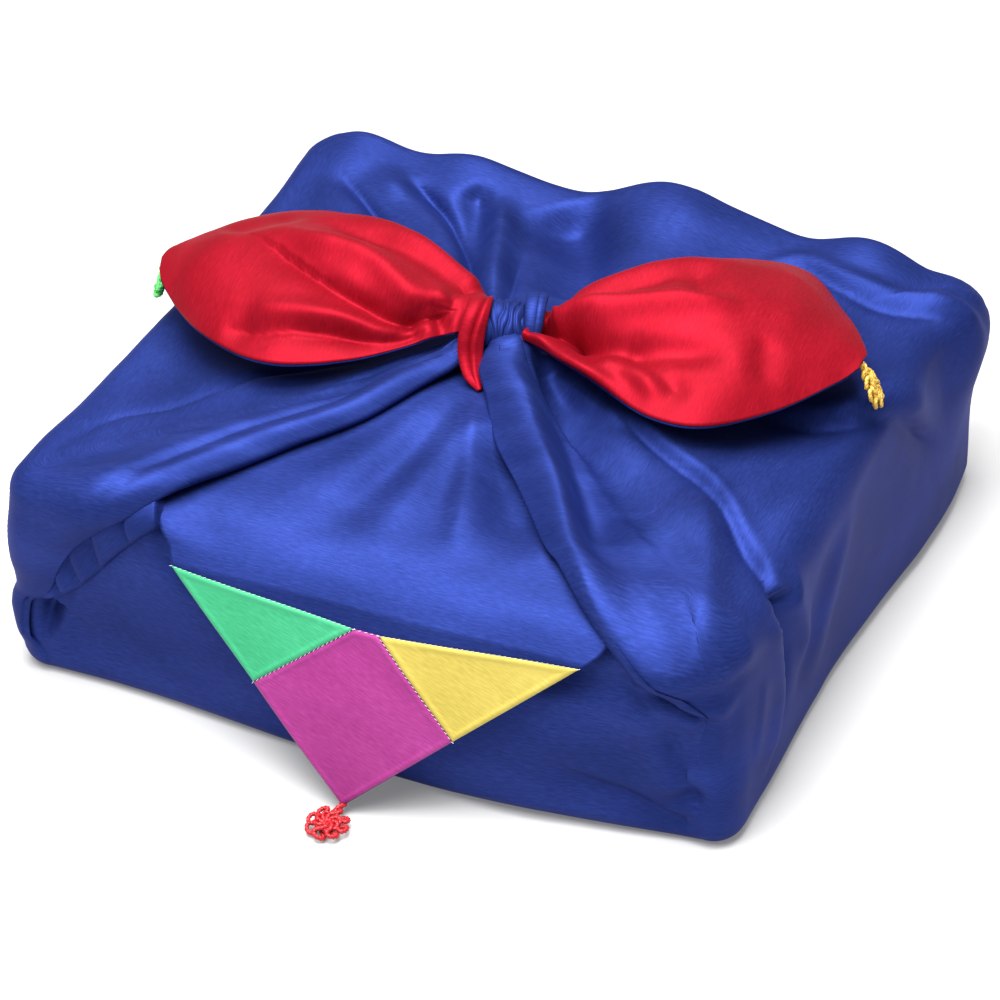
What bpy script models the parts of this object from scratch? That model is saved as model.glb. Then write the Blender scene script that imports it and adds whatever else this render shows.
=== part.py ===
"""A bojagi, the lined square wrapping cloth, tied round a flat gift box with its corner flap hanging in front.

Metres, +Z up. The origin is on the surface that the bundle rests on, under the middle of the box. +X runs along
the front wall and -Y faces the front, where the flap hangs.
"""
from collections import namedtuple
from math import cos, pi, sin

import bmesh
import bpy
import numpy as np
from mathutils import Matrix, Vector

MM = 0.001
OBJECT_NAME = "bojagi"

# The wrapped bundle, measured over the cloth.
WIDTH = 378 * MM
DEPTH = 354 * MM
MIDDLE = Vector((-5 * MM, -3 * MM, 0))
SHOULDER = 116 * MM
CORNER_RADIUS = 14 * MM
SHELL = 2.0 * MM
GAP = 0.3 * MM
SIDE_STEPS = 12
CORNER_STEPS = 4

# The gift box inside, which the cloth clears at every edge.
BOX_WIDTH = 346 * MM
BOX_DEPTH = 324 * MM
BOX_HEIGHT = 106 * MM
BOX_EDGE = 3 * MM

# Walls: height of each level, how far it lies inside the outline, and its share of each wall's bulge.
WallLevel = namedtuple("WallLevel", "height inset bulge")
WALL_LEVELS = (
    (0.0, 10.0, 0.80),
    (2.5, 2.5, 0.95),
    (10.0, 0.0, 1.00),
    (32.0, 0.0, 0.95),
    (58.0, 0.0, 0.80),
    (84.0, 1.0, 0.50),
    (104.0, 3.0, 0.25),
    (112.0, 6.0, 0.10),
    (116.0, 11.0, 0.0),
)

# How far each wall bulges, and where along the wall the bulge is widest.
Bulge = namedtuple("Bulge", "outward_x outward_y depth middle half_length")
BULGES = (
    (0, -1, 19.0, 40.0, 200.0),
    (1, 0, 13.0, 120.0, 170.0),
    (0, 1, 6.0, 0.0, 180.0),
    (-1, 0, 6.0, -60.0, 180.0),
)

# Where the gathered cloth stands higher than the box under it.
Rise = namedtuple("Rise", "x y height reach")
RISES = (
    (-172, 176, 20.0, 60.0),
    (-90, 182, 8.0, 50.0),
    (20, 182, 17.0, 70.0),
    (140, 176, 8.0, 50.0),
)

# The neck, where the cloth is gathered under the knot.
NECK = Vector((4 * MM, -13 * MM, 139 * MM))
NECK_RADII = (10 * MM, 17 * MM)
TOP_ROWS = 9
TENT_POWER = 1.7

# Main folds: each has its height above the cloth, the reach of its slope to the right and to the left of its
# route, the share of the route over which each end fades, and the route from its start at the neck.
Fold = namedtuple("Fold", "name height right_reach left_reach fade_in fade_out route")
FOLDS = (
    ("left_roll", 15, 46, 17, 0.05, 0.15,
     ((-26, -42, 134), (-48, -72, 128), (-77, -112, 124), (-101, -150, 120), (-128, -180, 104), (-158, -184, 78))),
    ("right_roll", 12, 17, 44, 0.10, 0.10,
     ((6, -40, 134), (40, -94, 126), (78, -142, 120), (122, -178, 102), (144, -186, 82), (162, -186, 60))),
    ("right_shoulder", 9, 30, 26, 0.10, 0.25,
     ((22, -24, 132), (70, -40, 124), (118, -68, 119), (156, -110, 115), (181, -136, 96), (184, -150, 50))),
    ("back_left_ridge", 16, 20, 20, 0.10, 0.25,
     ((-24, 0, 134), (-66, 52, 126), (-116, 110, 120), (-158, 158, 114), (-176, 176, 80))),
    ("back_left_second", 9, 16, 16, 0.10, 0.25,
     ((-16, 6, 134), (-50, 60, 124), (-88, 120, 118), (-112, 164, 114), (-116, 176, 70))),
    ("back_ridge", 9, 30, 18, 0.15, 0.25,
     ((-2, 6, 134), (8, 60, 122), (12, 120, 118), (8, 166, 114), (6, 176, 80))),
    ("back_right_ridge", 9, 30, 22, 0.15, 0.20,
     ((14, 0, 134), (70, 52, 122), (120, 104, 118), (160, 150, 115), (184, 168, 70))),
    ("right_ridge", 7, 24, 20, 0.20, 0.25,
     ((16, -14, 134), (78, 20, 122), (140, 48, 117), (180, 70, 106), (188, 84, 60))),
    ("left_ridge", 6, 26, 26, 0.20, 0.30,
     ((-24, -26, 134), (-80, -50, 122), (-130, -92, 118), (-176, -140, 110))),
)

# The flap: its root along the front shoulder, the seam where the patchwork starts, and its tip near the surface.
FLAP_ROOT_LEFT = Vector((-120 * MM, -176 * MM, 113 * MM))
FLAP_ROOT_RIGHT = Vector((134 * MM, -176 * MM, 112 * MM))
SEAM_LEFT = Vector((-99 * MM, -191 * MM, 94 * MM))
SEAM_RIGHT = Vector((109 * MM, -193 * MM, 93 * MM))
FLAP_TIP = Vector((3 * MM, -225 * MM, 5 * MM))
FLAP_THICKNESS = 1.6 * MM
FLAP_COLUMNS_COUNT = 14
FLAP_UPPER_ROWS = 4
FLAP_LOWER_ROWS = 8
FLAP_TIP_WIDTH = 4 * MM

# Patchwork on the flap's corner: where the square meets the corner's legs, and where its seams meet the top seam.
SQUARE_LEFT = 0.515
SQUARE_RIGHT = 0.475
GREEN_END = 0.485
YELLOW_START = 0.555
SEAM_SAG = 8 * MM
PATCH_THICKNESS = 1.0 * MM
PATCH_MARGIN = 0.8 * MM

# The knot: a wound lump whose ends run into the neck.
KNOT_CENTRE = Vector((5 * MM, -13 * MM, 151 * MM))
KNOT_RADII = Vector((27 * MM, 19 * MM, 15 * MM))

# Tails: a row for each section from the knot to the tip, with its back edge, its crown and its front edge.
TailSection = namedtuple("TailSection", "x back_y back_z crown_y crown_z front_y front_z")
LEFT_TAIL = (
    (-13, 0, 151, -12, 159, -24, 151),
    (-35, 15, 155, -15, 165, -45, 151),
    (-65, 37, 155, -15, 170, -67, 145),
    (-99, 52, 152, -16, 172, -80, 143),
    (-133, 58, 148, -15, 169, -70, 141),
    (-161, 45, 146, -16, 162, -51, 141),
    (-181, 7, 148, -12, 153, -33, 146),
    (-188, -6, 149, -13, 150, -18, 149),
)
RIGHT_TAIL = (
    (23, -1, 152, -13, 160, -25, 152),
    (39, 38, 153, -4, 167, -37, 151),
    (65, 77, 149, 14, 171, -47, 147),
    (93, 100, 145, 23, 171, -57, 144),
    (118, 104, 142, 27, 167, -53, 143),
    (144, 77, 142, 28, 158, -25, 142),
    (164, 46, 145, 28, 149, 7, 144),
    (171, 33, 146, 27, 147, 21, 146),
)
TAIL_STEPS = 8
TAIL_THICKNESS = 1.5 * MM
LINING_THICKNESS = 1.0 * MM
LINING_START = 1

# The band of lining that crosses the knot's left side and hangs in a point below it.
BAND_X = -9 * MM
BAND_WIDTH = 13 * MM
BAND_FROM = 1.9
BAND_TO = -0.35
BAND_STEPS = 8
BAND_CLEAR = 0.7 * MM
BAND_TIP = Vector((-2 * MM, -48 * MM, 140 * MM))
BAND_POINT_WIDTH = 4 * MM

# The tied cord knots: loops round a small core, on a doubled neck.
CORD = 2.2 * MM
LOOPS = 7
LOOP_RING = 8.0 * MM
LOOP_RADIUS = 2.6 * MM
CORE_RADIUS = 6.4 * MM
CORE_DEPTH = 4.4 * MM
FLAP_KNOT_AWAY = (-0.10, -0.985, -0.10)
FLAP_KNOT_FACE = (0, -0.10, 0.995)
FLAP_KNOT_NECK = 5.0 * MM
FLAP_KNOT_CLEAR = 1.1 * MM
LEFT_KNOT_AWAY = (-0.25, -0.10, -0.96)
LEFT_KNOT_FACE = (0.93, 0.37, 0)
RIGHT_KNOT_AWAY = (0.45, 0.00, -0.89)
RIGHT_KNOT_FACE = (0.87, 0.20, 0.45)
TAIL_KNOT_NECK = 2.5 * MM
TAIL_KNOT_DROP = 1.2 * MM

COLOURS = {
    "blue_satin": ((0.020, 0.035, 0.260, 1), 0.38),
    "red_satin": ((0.640, 0.006, 0.024, 1), 0.40),
    "green_silk": ((0.075, 0.560, 0.240, 1), 0.42),
    "magenta_silk": ((0.420, 0.045, 0.290, 1), 0.42),
    "yellow_silk": ((0.720, 0.560, 0.090, 1), 0.42),
    "red_cord": ((0.900, 0.008, 0.020, 1), 0.50),
    "green_cord": ((0.090, 0.680, 0.080, 1), 0.50),
    "yellow_cord": ((0.850, 0.560, 0.040, 1), 0.50),
    "board": ((0.560, 0.470, 0.340, 1), 0.80),
}


def clear_scene():
    for item in list(bpy.data.objects):
        bpy.data.objects.remove(item, do_unlink=True)


def collection(name, hidden=False):
    made = bpy.data.collections.new(name)
    bpy.context.scene.collection.children.link(made)
    made.hide_render = hidden
    return made


def material(name):
    colour, roughness = COLOURS[name]
    made = bpy.data.materials.new(name)
    made.use_nodes = True
    shader = made.node_tree.nodes["Principled BSDF"]
    shader.inputs["Base Color"].default_value = colour
    shader.inputs["Roughness"].default_value = roughness
    shader.inputs["Metallic"].default_value = 0.0
    return made


def add_object(name, mesh, finish, home):
    made = bpy.data.objects.new(name, mesh)
    made.data.materials.append(bpy.data.materials[finish])
    home.objects.link(made)
    return made


def grid_mesh(name, rows, closed):
    """A sheet through rows of points; closed rows join their last point to their first."""
    count = len(rows[0])
    points = [tuple(point) for row in rows for point in row]
    faces = []
    for r in range(len(rows) - 1):
        for c in range(count if closed else count - 1):
            after = (c + 1) % count
            faces.append((r * count + c, r * count + after, (r + 1) * count + after, (r + 1) * count + c))
    mesh = bpy.data.meshes.new(name)
    mesh.from_pydata(points, [], faces)
    return mesh


def add_thickness(item, thickness, side):
    """Solidify from the modelled surface: side -1 grows against the faces, +1 along them."""
    solid = item.modifiers.new("thickness", "SOLIDIFY")
    solid.thickness = thickness
    solid.offset = side
    solid.use_even_offset = False
    return solid


def baked(item):
    """Replaces the object's mesh with its evaluated one and drops its modifiers."""
    depsgraph = bpy.context.evaluated_depsgraph_get()
    mesh = bpy.data.meshes.new_from_object(item.evaluated_get(depsgraph))
    item.modifiers.clear()
    item.data = mesh
    return item


def join_solid(target, tool):
    """Boolean union of the tool into the target; the tool is removed."""
    union = target.modifiers.new("join " + tool.name, "BOOLEAN")
    union.operation = "UNION"
    union.solver = "EXACT"
    union.object = tool
    bpy.context.view_layer.update()
    baked(target)
    bpy.data.objects.remove(tool, do_unlink=True)


def outline_stations():
    """Points and outward directions round the bundle's rounded outline, counter-clockwise from the right wall."""
    half_x = WIDTH / 2 - CORNER_RADIUS
    half_y = DEPTH / 2 - CORNER_RADIUS
    corners = ((half_x, half_y), (-half_x, half_y), (-half_x, -half_y), (half_x, -half_y))
    points = []
    outward = []
    for index, (x, y) in enumerate(corners):
        start = index * pi / 2
        for step in range(CORNER_STEPS + 1):
            angle = start + step * (pi / 2) / CORNER_STEPS
            direction = np.array((cos(angle), sin(angle), 0.0))
            points.append(np.array((x, y, 0.0)) + direction * CORNER_RADIUS)
            outward.append(direction)
        next_x, next_y = corners[(index + 1) % 4]
        direction = outward[-1]
        begin = points[-1].copy()
        end = np.array((next_x, next_y, 0.0)) + direction * CORNER_RADIUS
        for step in range(1, SIDE_STEPS):
            points.append(begin + (end - begin) * step / SIDE_STEPS)
            outward.append(direction)
    return np.array(points) + np.array(MIDDLE), np.array(outward)


def bulge_depth(points, outward):
    """How far the full bulge pushes each station out along its outward direction."""
    depth = np.zeros(len(points))
    for bulge in map(Bulge._make, BULGES):
        facing = np.clip(outward[:, 0] * bulge.outward_x + outward[:, 1] * bulge.outward_y, 0, 1) ** 2
        along = points[:, 1] if bulge.outward_x else points[:, 0]
        place = np.clip((along - bulge.middle * MM) / (bulge.half_length * MM), -1, 1)
        depth += bulge.depth * MM * facing * np.cos(place * pi / 2) ** 2
    return depth


def rise_height(points):
    """How much higher than the box each point of the shoulder and top stands."""
    height = np.zeros(len(points))
    for rise in map(Rise._make, RISES):
        away = np.hypot(points[:, 0] - rise.x * MM, points[:, 1] - rise.y * MM) / (rise.reach * MM)
        height += rise.height * MM * np.exp(-away ** 2)
    return height


def wrap_rows():
    """Rows of the wrapped surface from the foot, up the walls and over the top to the neck."""
    stations, outward = outline_stations()
    bulge = bulge_depth(stations, outward)
    rows = []
    for level in map(WallLevel._make, WALL_LEVELS):
        row = stations + outward * (bulge * level.bulge - level.inset * MM)[:, None]
        row[:, 2] = level.height * MM
        row[:, 2] += rise_height(row) * (level.height * MM / SHOULDER) ** 2
        rows.append(row)
    shoulder = rows[-1]
    bearing = np.arctan2(shoulder[:, 1] - NECK.y, shoulder[:, 0] - NECK.x)
    ring = np.stack((NECK.x + NECK_RADII[0] * np.cos(bearing), NECK.y + NECK_RADII[1] * np.sin(bearing)), axis=1)
    for step in range(1, TOP_ROWS + 1):
        share = step / TOP_ROWS
        row = shoulder.copy()
        row[:, :2] += (ring - shoulder[:, :2]) * share
        row[:, 2] = SHOULDER + (NECK.z - SHOULDER) * share ** TENT_POWER
        row[:, 2] += rise_height(row) * (1 - share)
        rows.append(row)
    return np.array(rows)


def grid_normals(rows):
    """Outward directions of a closed-row grid."""
    around = np.roll(rows, -1, axis=1) - np.roll(rows, 1, axis=1)
    along = np.gradient(rows, axis=0)
    normal = np.cross(around, along)
    return normal / np.maximum(np.linalg.norm(normal, axis=2, keepdims=True), 1e-9)


def smooth_route(points, per_span=6):
    """A Catmull-Rom curve through the points of a route."""
    knots = np.array(points, dtype=float) * MM
    knots = np.vstack((2 * knots[0] - knots[1], knots, 2 * knots[-1] - knots[-2]))
    result = []
    for index in range(1, len(knots) - 2):
        before, start, end, after = knots[index - 1:index + 3]
        for step in range(per_span):
            t = step / per_span
            result.append(0.5 * (2 * start + (end - before) * t
                                 + (2 * before - 5 * start + 4 * end - after) * t ** 2
                                 + (3 * start - before - 3 * end + after) * t ** 3))
    result.append(knots[-2])
    return np.array(result)


def fold_lift(points, normals, fold):
    """How high the fold raises each point, from its distance and side to the fold's route."""
    line = smooth_route(fold.route)
    spans = line[1:] - line[:-1]
    offset = points[:, None, :] - line[None, :-1, :]
    share = np.clip((offset * spans).sum(axis=2) / (spans ** 2).sum(axis=1), 0, 1)
    away = offset - share[:, :, None] * spans
    distance = np.linalg.norm(away, axis=2)
    nearest = distance.argmin(axis=1)
    every = np.arange(len(points))
    side = (np.cross(spans[nearest], normals) * away[every, nearest]).sum(axis=1)
    reach = np.where(side > 0, fold.right_reach, fold.left_reach) * MM
    along = (nearest + share[every, nearest]) / len(spans)
    fade = np.clip(along / fold.fade_in, 0, 1) * np.clip((1 - along) / fold.fade_out, 0, 1)
    return fold.height * MM * fade * np.exp(-(distance[every, nearest] / reach) ** 2)


def fold_rows(rows):
    """The wrapped surface with its main folds raised, none of them below the wall's foot."""
    shape = rows.shape
    normals = grid_normals(rows).reshape(-1, 3)
    points = rows.reshape(-1, 3)
    lift = np.zeros(len(points))
    for fold in map(Fold._make, FOLDS):
        lift = np.maximum(lift, fold_lift(points, normals, fold))
    above_foot = np.clip(points[:, 2] / (12 * MM), 0, 1)
    points = points + normals * (lift * above_foot)[:, None]
    return points.reshape(shape)


def make_wrap(home):
    """The outer cloth round the box: walls, base and tented top, open only at the neck."""
    rows = fold_rows(wrap_rows())
    mesh = grid_mesh("wrap", rows, closed=True)
    item = add_object("wrap", mesh, "blue_satin", home)
    edit = bmesh.new()
    edit.from_mesh(mesh)
    edit.verts.ensure_lookup_table()
    edit.faces.new([edit.verts[index] for index in reversed(range(rows.shape[1]))])
    edit.to_mesh(mesh)
    edit.free()
    add_thickness(item, SHELL, -1)
    return baked(item)


def flap_rows():
    """Rows of the flap from its root to its tip; the rows under the seam lie in one plane."""
    rows = []
    for step in range(FLAP_UPPER_ROWS):
        share = step / FLAP_UPPER_ROWS
        rows.append((FLAP_ROOT_LEFT.lerp(SEAM_LEFT, share), FLAP_ROOT_RIGHT.lerp(SEAM_RIGHT, share)))
    across = (SEAM_RIGHT - SEAM_LEFT).normalized() * FLAP_TIP_WIDTH / 2
    for step in range(FLAP_LOWER_ROWS + 1):
        share = step / FLAP_LOWER_ROWS
        rows.append((SEAM_LEFT.lerp(FLAP_TIP - across, share), SEAM_RIGHT.lerp(FLAP_TIP + across, share)))
    count = FLAP_COLUMNS_COUNT
    return [[left.lerp(right, c / count) for c in range(count + 1)] for left, right in rows]


def make_flap(home):
    mesh = grid_mesh("flap", flap_rows(), closed=False)
    item = add_object("flap", mesh, "blue_satin", home)
    add_thickness(item, FLAP_THICKNESS, 1)
    return baked(item)


def patch_solid(name, corners, finish, home):
    """A flat patch over the flap's face, drawn in from its corners by half a seam's gap."""
    centre = sum(corners, Vector()) / len(corners)
    face = (corners[1] - corners[0]).cross(corners[2] - corners[0]).normalized()
    drawn = [corner + (centre - corner).normalized() * PATCH_MARGIN for corner in corners]
    low = [corner + face * GAP for corner in drawn]
    edit = bmesh.new()
    bottom = edit.faces.new([edit.verts.new(corner) for corner in low])
    top = bmesh.ops.extrude_face_region(edit, geom=[bottom])
    raised = [part for part in top["geom"] if isinstance(part, bmesh.types.BMVert)]
    bmesh.ops.translate(edit, verts=raised, vec=face * PATCH_THICKNESS)
    bmesh.ops.recalc_face_normals(edit, faces=edit.faces)
    mesh = bpy.data.meshes.new(name)
    edit.to_mesh(mesh)
    edit.free()
    return add_object(name, mesh, finish, home)


def make_patches(home):
    """A square patch in the corner between a green and a yellow triangle."""
    left = SEAM_LEFT
    right = SEAM_RIGHT
    tip = FLAP_TIP
    square_left = tip.lerp(left, SQUARE_LEFT)
    square_right = tip.lerp(right, SQUARE_RIGHT)
    top_left = left.lerp(right, GREEN_END)
    top_left += (tip - top_left).normalized() * SEAM_SAG
    top_right = left.lerp(right, YELLOW_START)
    top_right += (tip - top_right).normalized() * SEAM_SAG
    patch_solid("patch_green", [left, square_left, top_left], "green_silk", home)
    patch_solid("patch_magenta", [top_left, square_left, tip, square_right, top_right], "magenta_silk", home)
    patch_solid("patch_yellow", [top_right, square_right, right], "yellow_silk", home)


def make_knot(home):
    bpy.ops.mesh.primitive_uv_sphere_add(segments=20, ring_count=12, radius=1.0)
    item = bpy.context.object
    item.name = "knot"
    item.data.transform(Matrix.Translation(KNOT_CENTRE) @ Matrix.Diagonal((*KNOT_RADII, 1.0)))
    for owner in list(item.users_collection):
        owner.objects.unlink(item)
    home.objects.link(item)
    item.data.materials.append(bpy.data.materials["blue_satin"])
    return item


def tail_rows(table, first=0):
    """Sections of a tail, each an arc over its crown, in the order that turns the sheet's faces up."""
    rows = []
    for section in map(TailSection._make, table[first:]):
        back = Vector((section.x, section.back_y, section.back_z)) * MM
        crown = Vector((section.x, section.crown_y, section.crown_z)) * MM
        front = Vector((section.x, section.front_y, section.front_z)) * MM
        control = crown * 2 - (back + front) / 2
        row = []
        for step in range(TAIL_STEPS + 1):
            t = step / TAIL_STEPS
            row.append(back * (1 - t) ** 2 + control * 2 * t * (1 - t) + front * t ** 2)
        rows.append(row if table is RIGHT_TAIL else row[::-1])
    return rows


def make_tail(name, table, home):
    """A tail's outer cloth, below the surface that its table gives."""
    rows = tail_rows(table)
    mesh = grid_mesh(name, rows, closed=False)
    item = add_object(name, mesh, "blue_satin", home)
    add_thickness(item, TAIL_THICKNESS, -1)
    return baked(item)


def make_lining(name, table, home):
    """The lining sewn on a tail, a gap above its outer cloth."""
    rows = tail_rows(table, LINING_START)
    raised = [[point + Vector((0, 0, GAP)) for point in row] for row in rows]
    mesh = grid_mesh(name, raised, closed=False)
    item = add_object(name, mesh, "red_satin", home)
    add_thickness(item, LINING_THICKNESS, 1)
    return baked(item)


def make_gift_box(home):
    """The plain closed box that the cloth is wrapped round."""
    edit = bmesh.new()
    bmesh.ops.create_cube(edit, size=1.0)
    bmesh.ops.scale(edit, verts=edit.verts, vec=(BOX_WIDTH, BOX_DEPTH, BOX_HEIGHT))
    bmesh.ops.translate(edit, verts=edit.verts, vec=(MIDDLE.x, MIDDLE.y, SHELL + GAP + BOX_HEIGHT / 2))
    mesh = bpy.data.meshes.new("gift_box")
    edit.to_mesh(mesh)
    edit.free()
    item = add_object("gift_box", mesh, "board", home)
    bevel = item.modifiers.new("eased edges", "BEVEL")
    bevel.width = BOX_EDGE
    bevel.segments = 2
    return item


def make_band(home):
    """The strip of lining over the knot's left side, ending in a hanging point."""
    rows = []
    half = BAND_WIDTH / 2
    for step in range(BAND_STEPS + 1):
        angle = BAND_FROM + (BAND_TO - BAND_FROM) * step / BAND_STEPS
        row = []
        for side in (-1, 0, 1):
            x = BAND_X + side * half
            reach = (1 - (x / KNOT_RADII.x) ** 2) ** 0.5
            y = (KNOT_RADII.y * reach + BAND_CLEAR) * -cos(angle)
            z = (KNOT_RADII.z * reach + BAND_CLEAR) * sin(angle)
            row.append(KNOT_CENTRE + Vector((x, y, z)))
        rows.append(row)
    across = Vector((BAND_POINT_WIDTH / 2, 0, 0))
    rows.append([BAND_TIP - across, BAND_TIP, BAND_TIP + across])
    mesh = grid_mesh("lining_band", rows, closed=False)
    item = add_object("lining_band", mesh, "red_satin", home)
    add_thickness(item, LINING_THICKNESS, -1)
    return baked(item)


def under_tip(table):
    """The point just below a tail's tip, where its cord knot hangs."""
    tip = TailSection._make(table[-1])
    return Vector((tip.x, tip.crown_y, min(tip.back_z, tip.front_z))) * MM - Vector((0, 0, TAIL_KNOT_DROP))


def make_cord_knot(name, finish, corner, away, face, neck, home):
    """A flower knot: loops of cord round a core, on a short neck from the cloth's corner."""
    away = Vector(away).normalized()
    across = away.cross(Vector(face)).normalized()
    face = across.cross(away)
    frame = Matrix((across, away, face)).transposed().to_4x4()
    centre = corner + away * (neck + LOOP_RING + LOOP_RADIUS)
    place = Matrix.Translation(centre) @ frame
    edit = bmesh.new()
    bmesh.ops.create_cone(edit, cap_ends=True, segments=14, radius1=CORE_RADIUS, radius2=CORE_RADIUS, depth=CORE_DEPTH)
    bmesh.ops.transform(edit, matrix=place, verts=edit.verts)
    mesh = bpy.data.meshes.new(name)
    edit.to_mesh(mesh)
    edit.free()
    item = add_object(name, mesh, finish, home)
    for index in range(LOOPS):
        angle = pi / 2 + 2 * pi * index / LOOPS
        bpy.ops.mesh.primitive_torus_add(
            major_segments=10, minor_segments=6, major_radius=LOOP_RADIUS, minor_radius=CORD / 2,
            location=(LOOP_RING * cos(angle), LOOP_RING * sin(angle), 0))
        loop = bpy.context.object
        loop.data.transform(place @ loop.matrix_world)
        loop.matrix_world = Matrix.Identity(4)
        join_solid(item, loop)
    start = -(neck + LOOP_RING + LOOP_RADIUS)
    end = -CORE_RADIUS / 2
    bpy.ops.mesh.primitive_cylinder_add(
        vertices=8, radius=CORD * 0.8, depth=end - start, location=(0, (start + end) / 2, 0), rotation=(pi / 2, 0, 0))
    neck_cord = bpy.context.object
    neck_cord.data.transform(place @ neck_cord.matrix_world)
    neck_cord.matrix_world = Matrix.Identity(4)
    join_solid(item, neck_cord)
    return item


def main():
    clear_scene()
    home = collection(OBJECT_NAME)
    for name in COLOURS:
        material(name)
    wrap = make_wrap(home)
    join_solid(wrap, make_flap(home))
    join_solid(wrap, make_knot(home))
    join_solid(wrap, make_tail("tail_left", LEFT_TAIL, home))
    join_solid(wrap, make_tail("tail_right", RIGHT_TAIL, home))
    make_lining("lining_left", LEFT_TAIL, home)
    make_lining("lining_right", RIGHT_TAIL, home)
    make_band(home)
    make_patches(home)
    make_gift_box(home)
    flap_end = FLAP_TIP + Vector(FLAP_KNOT_AWAY) * FLAP_KNOT_CLEAR
    make_cord_knot("cord_knot_red", "red_cord", flap_end, FLAP_KNOT_AWAY, FLAP_KNOT_FACE, FLAP_KNOT_NECK, home)
    make_cord_knot("cord_knot_green", "green_cord", under_tip(LEFT_TAIL), LEFT_KNOT_AWAY, LEFT_KNOT_FACE,
                   TAIL_KNOT_NECK, home)
    make_cord_knot("cord_knot_yellow", "yellow_cord", under_tip(RIGHT_TAIL), RIGHT_KNOT_AWAY, RIGHT_KNOT_FACE,
                   TAIL_KNOT_NECK, home)


main()
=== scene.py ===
"""A bojagi, the lined square wrapping cloth, tied round a flat gift box.

Metres, +Z up; tables are in millimetres. The origin is on the surface under the middle of the box, +X runs
along the front wall and -Y faces the front, where the patchwork corner hangs.
"""
from collections import namedtuple
from math import cos, pi, radians, sin

import bmesh
import bpy
import numpy as np
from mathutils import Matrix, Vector, noise


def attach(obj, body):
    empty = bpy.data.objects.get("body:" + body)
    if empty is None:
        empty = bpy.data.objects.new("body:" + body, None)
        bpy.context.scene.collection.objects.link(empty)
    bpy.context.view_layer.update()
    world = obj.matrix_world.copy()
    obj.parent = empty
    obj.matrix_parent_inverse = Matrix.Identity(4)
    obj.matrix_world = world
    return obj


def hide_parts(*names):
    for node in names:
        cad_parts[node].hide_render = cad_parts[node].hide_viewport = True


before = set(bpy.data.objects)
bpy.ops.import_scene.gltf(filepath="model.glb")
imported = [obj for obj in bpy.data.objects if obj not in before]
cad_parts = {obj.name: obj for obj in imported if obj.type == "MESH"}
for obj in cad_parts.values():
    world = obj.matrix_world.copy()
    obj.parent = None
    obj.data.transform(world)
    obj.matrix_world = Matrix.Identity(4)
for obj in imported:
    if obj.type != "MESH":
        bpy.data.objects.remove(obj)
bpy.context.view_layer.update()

MM = 0.001


def rows_of(kind, *rows):
    """A table's rows, with their columns named."""
    return [kind(*row) for row in rows]


# ----------------------------------------------------------------------------------------------------
# The bundle's sizes, in millimetres

WIDTH = 378.0
DEPTH = 354.0
MIDDLE = np.array((-5.0, -3.0, 0.0))
SHOULDER = 116.0
CORNER_RADIUS = 14.0
FOOT_RADIUS = 10.0
SHOULDER_RADIUS = 12.0
SHOULDER_SOFTER = 14.0
NECK = np.array((4.0, -13.0, 139.0))
NECK_RADII = (10.0, 17.0)
TENT_POWER = 1.7

# Lengths up the cloth: under the foot, round it, up the wall, over the shoulder and across the top to the
# neck. The shoulder is softer along the front, where more layers lie over the box's edge.
UP_FOOT = 12.0
UP_WALL = UP_FOOT + FOOT_RADIUS * pi / 2
UP_SHOULDER = UP_WALL + SHOULDER - FOOT_RADIUS - SHOULDER_RADIUS
UP_TOP = UP_SHOULDER + 30.0
UP_NECK = 310.0

# Lengths round the outline, counter-clockwise from the front end of the right wall.
ARC = CORNER_RADIUS * pi / 2
SIDE_X = WIDTH - 2 * CORNER_RADIUS
SIDE_Y = DEPTH - 2 * CORNER_RADIUS
GIRTH = 2 * (SIDE_X + SIDE_Y) + 4 * ARC

# The cloth lies flat at its foot, is creased from this height up, and stays this far over the surface.
CREASED_FROM = 12
OVER_SURFACE = 0.1

# How far each wall bulges, and where along the wall.
Bulge = namedtuple("Bulge", "outward_x outward_y depth middle half_length")
BULGES = rows_of(
    Bulge,
    (0, -1, 19.0, 40.0, 200.0),
    (1, 0, 13.0, 120.0, 170.0),
    (0, 1, 6.0, 0.0, 180.0),
    (-1, 0, 4.0, -60.0, 180.0),
)

# Where the gathered cloth stands up along the back of the top.
Rise = namedtuple("Rise", "x y height reach")
RISES = rows_of(
    Rise,
    (-158, 164, 22.0, 34.0),
    (-92, 166, 20.0, 34.0),
    (-52, 166, 6.0, 24.0),
    (22, 166, 27.0, 48.0),
    (76, 166, 6.0, 26.0),
    (132, 160, 19.0, 32.0),
)

# Rolled borders of the gathered cloth, from the knot down: the place of the folded edge, how high the cloth
# stands over the layer below at that edge and at the roll's crest, how far in the crest lies and how far the
# roll reaches. The edge is rolled under, and keeps a little clear of the layer below.
RollPoint = namedtuple("RollPoint", "x y z edge crest crest_in reach")
LEFT_ROLL = rows_of(
    RollPoint,
    (-8, -30, 138, 8, 11, 8, 20),
    (-20, -50, 134, 8, 12, 10, 24),
    (-44, -88, 126, 9, 16, 14, 28),
    (-73, -122, 122, 10, 18, 17, 32),
    (-102, -160, 119, 10, 17, 17, 34),
    (-124, -184, 112, 9, 15, 15, 34),
    (-141, -188, 99, 8, 13, 14, 30),
    (-157, -186, 83, 7, 11, 13, 26),
    (-166, -184, 68, 6, 9, 11, 22),
    (-171, -182, 56, 5, 6, 9, 18),
    (-177, -179, 49, 4, 5, 8, 14),
    (-183, -177, 43, 3.5, 5, 8, 12),
    (-184, -176, 30, 3, 4, 8, 12),
    (-183, -176, 16, 2, 2, 8, 12),
    (-182, -177, 6, 1, 1, 8, 12),
)
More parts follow.
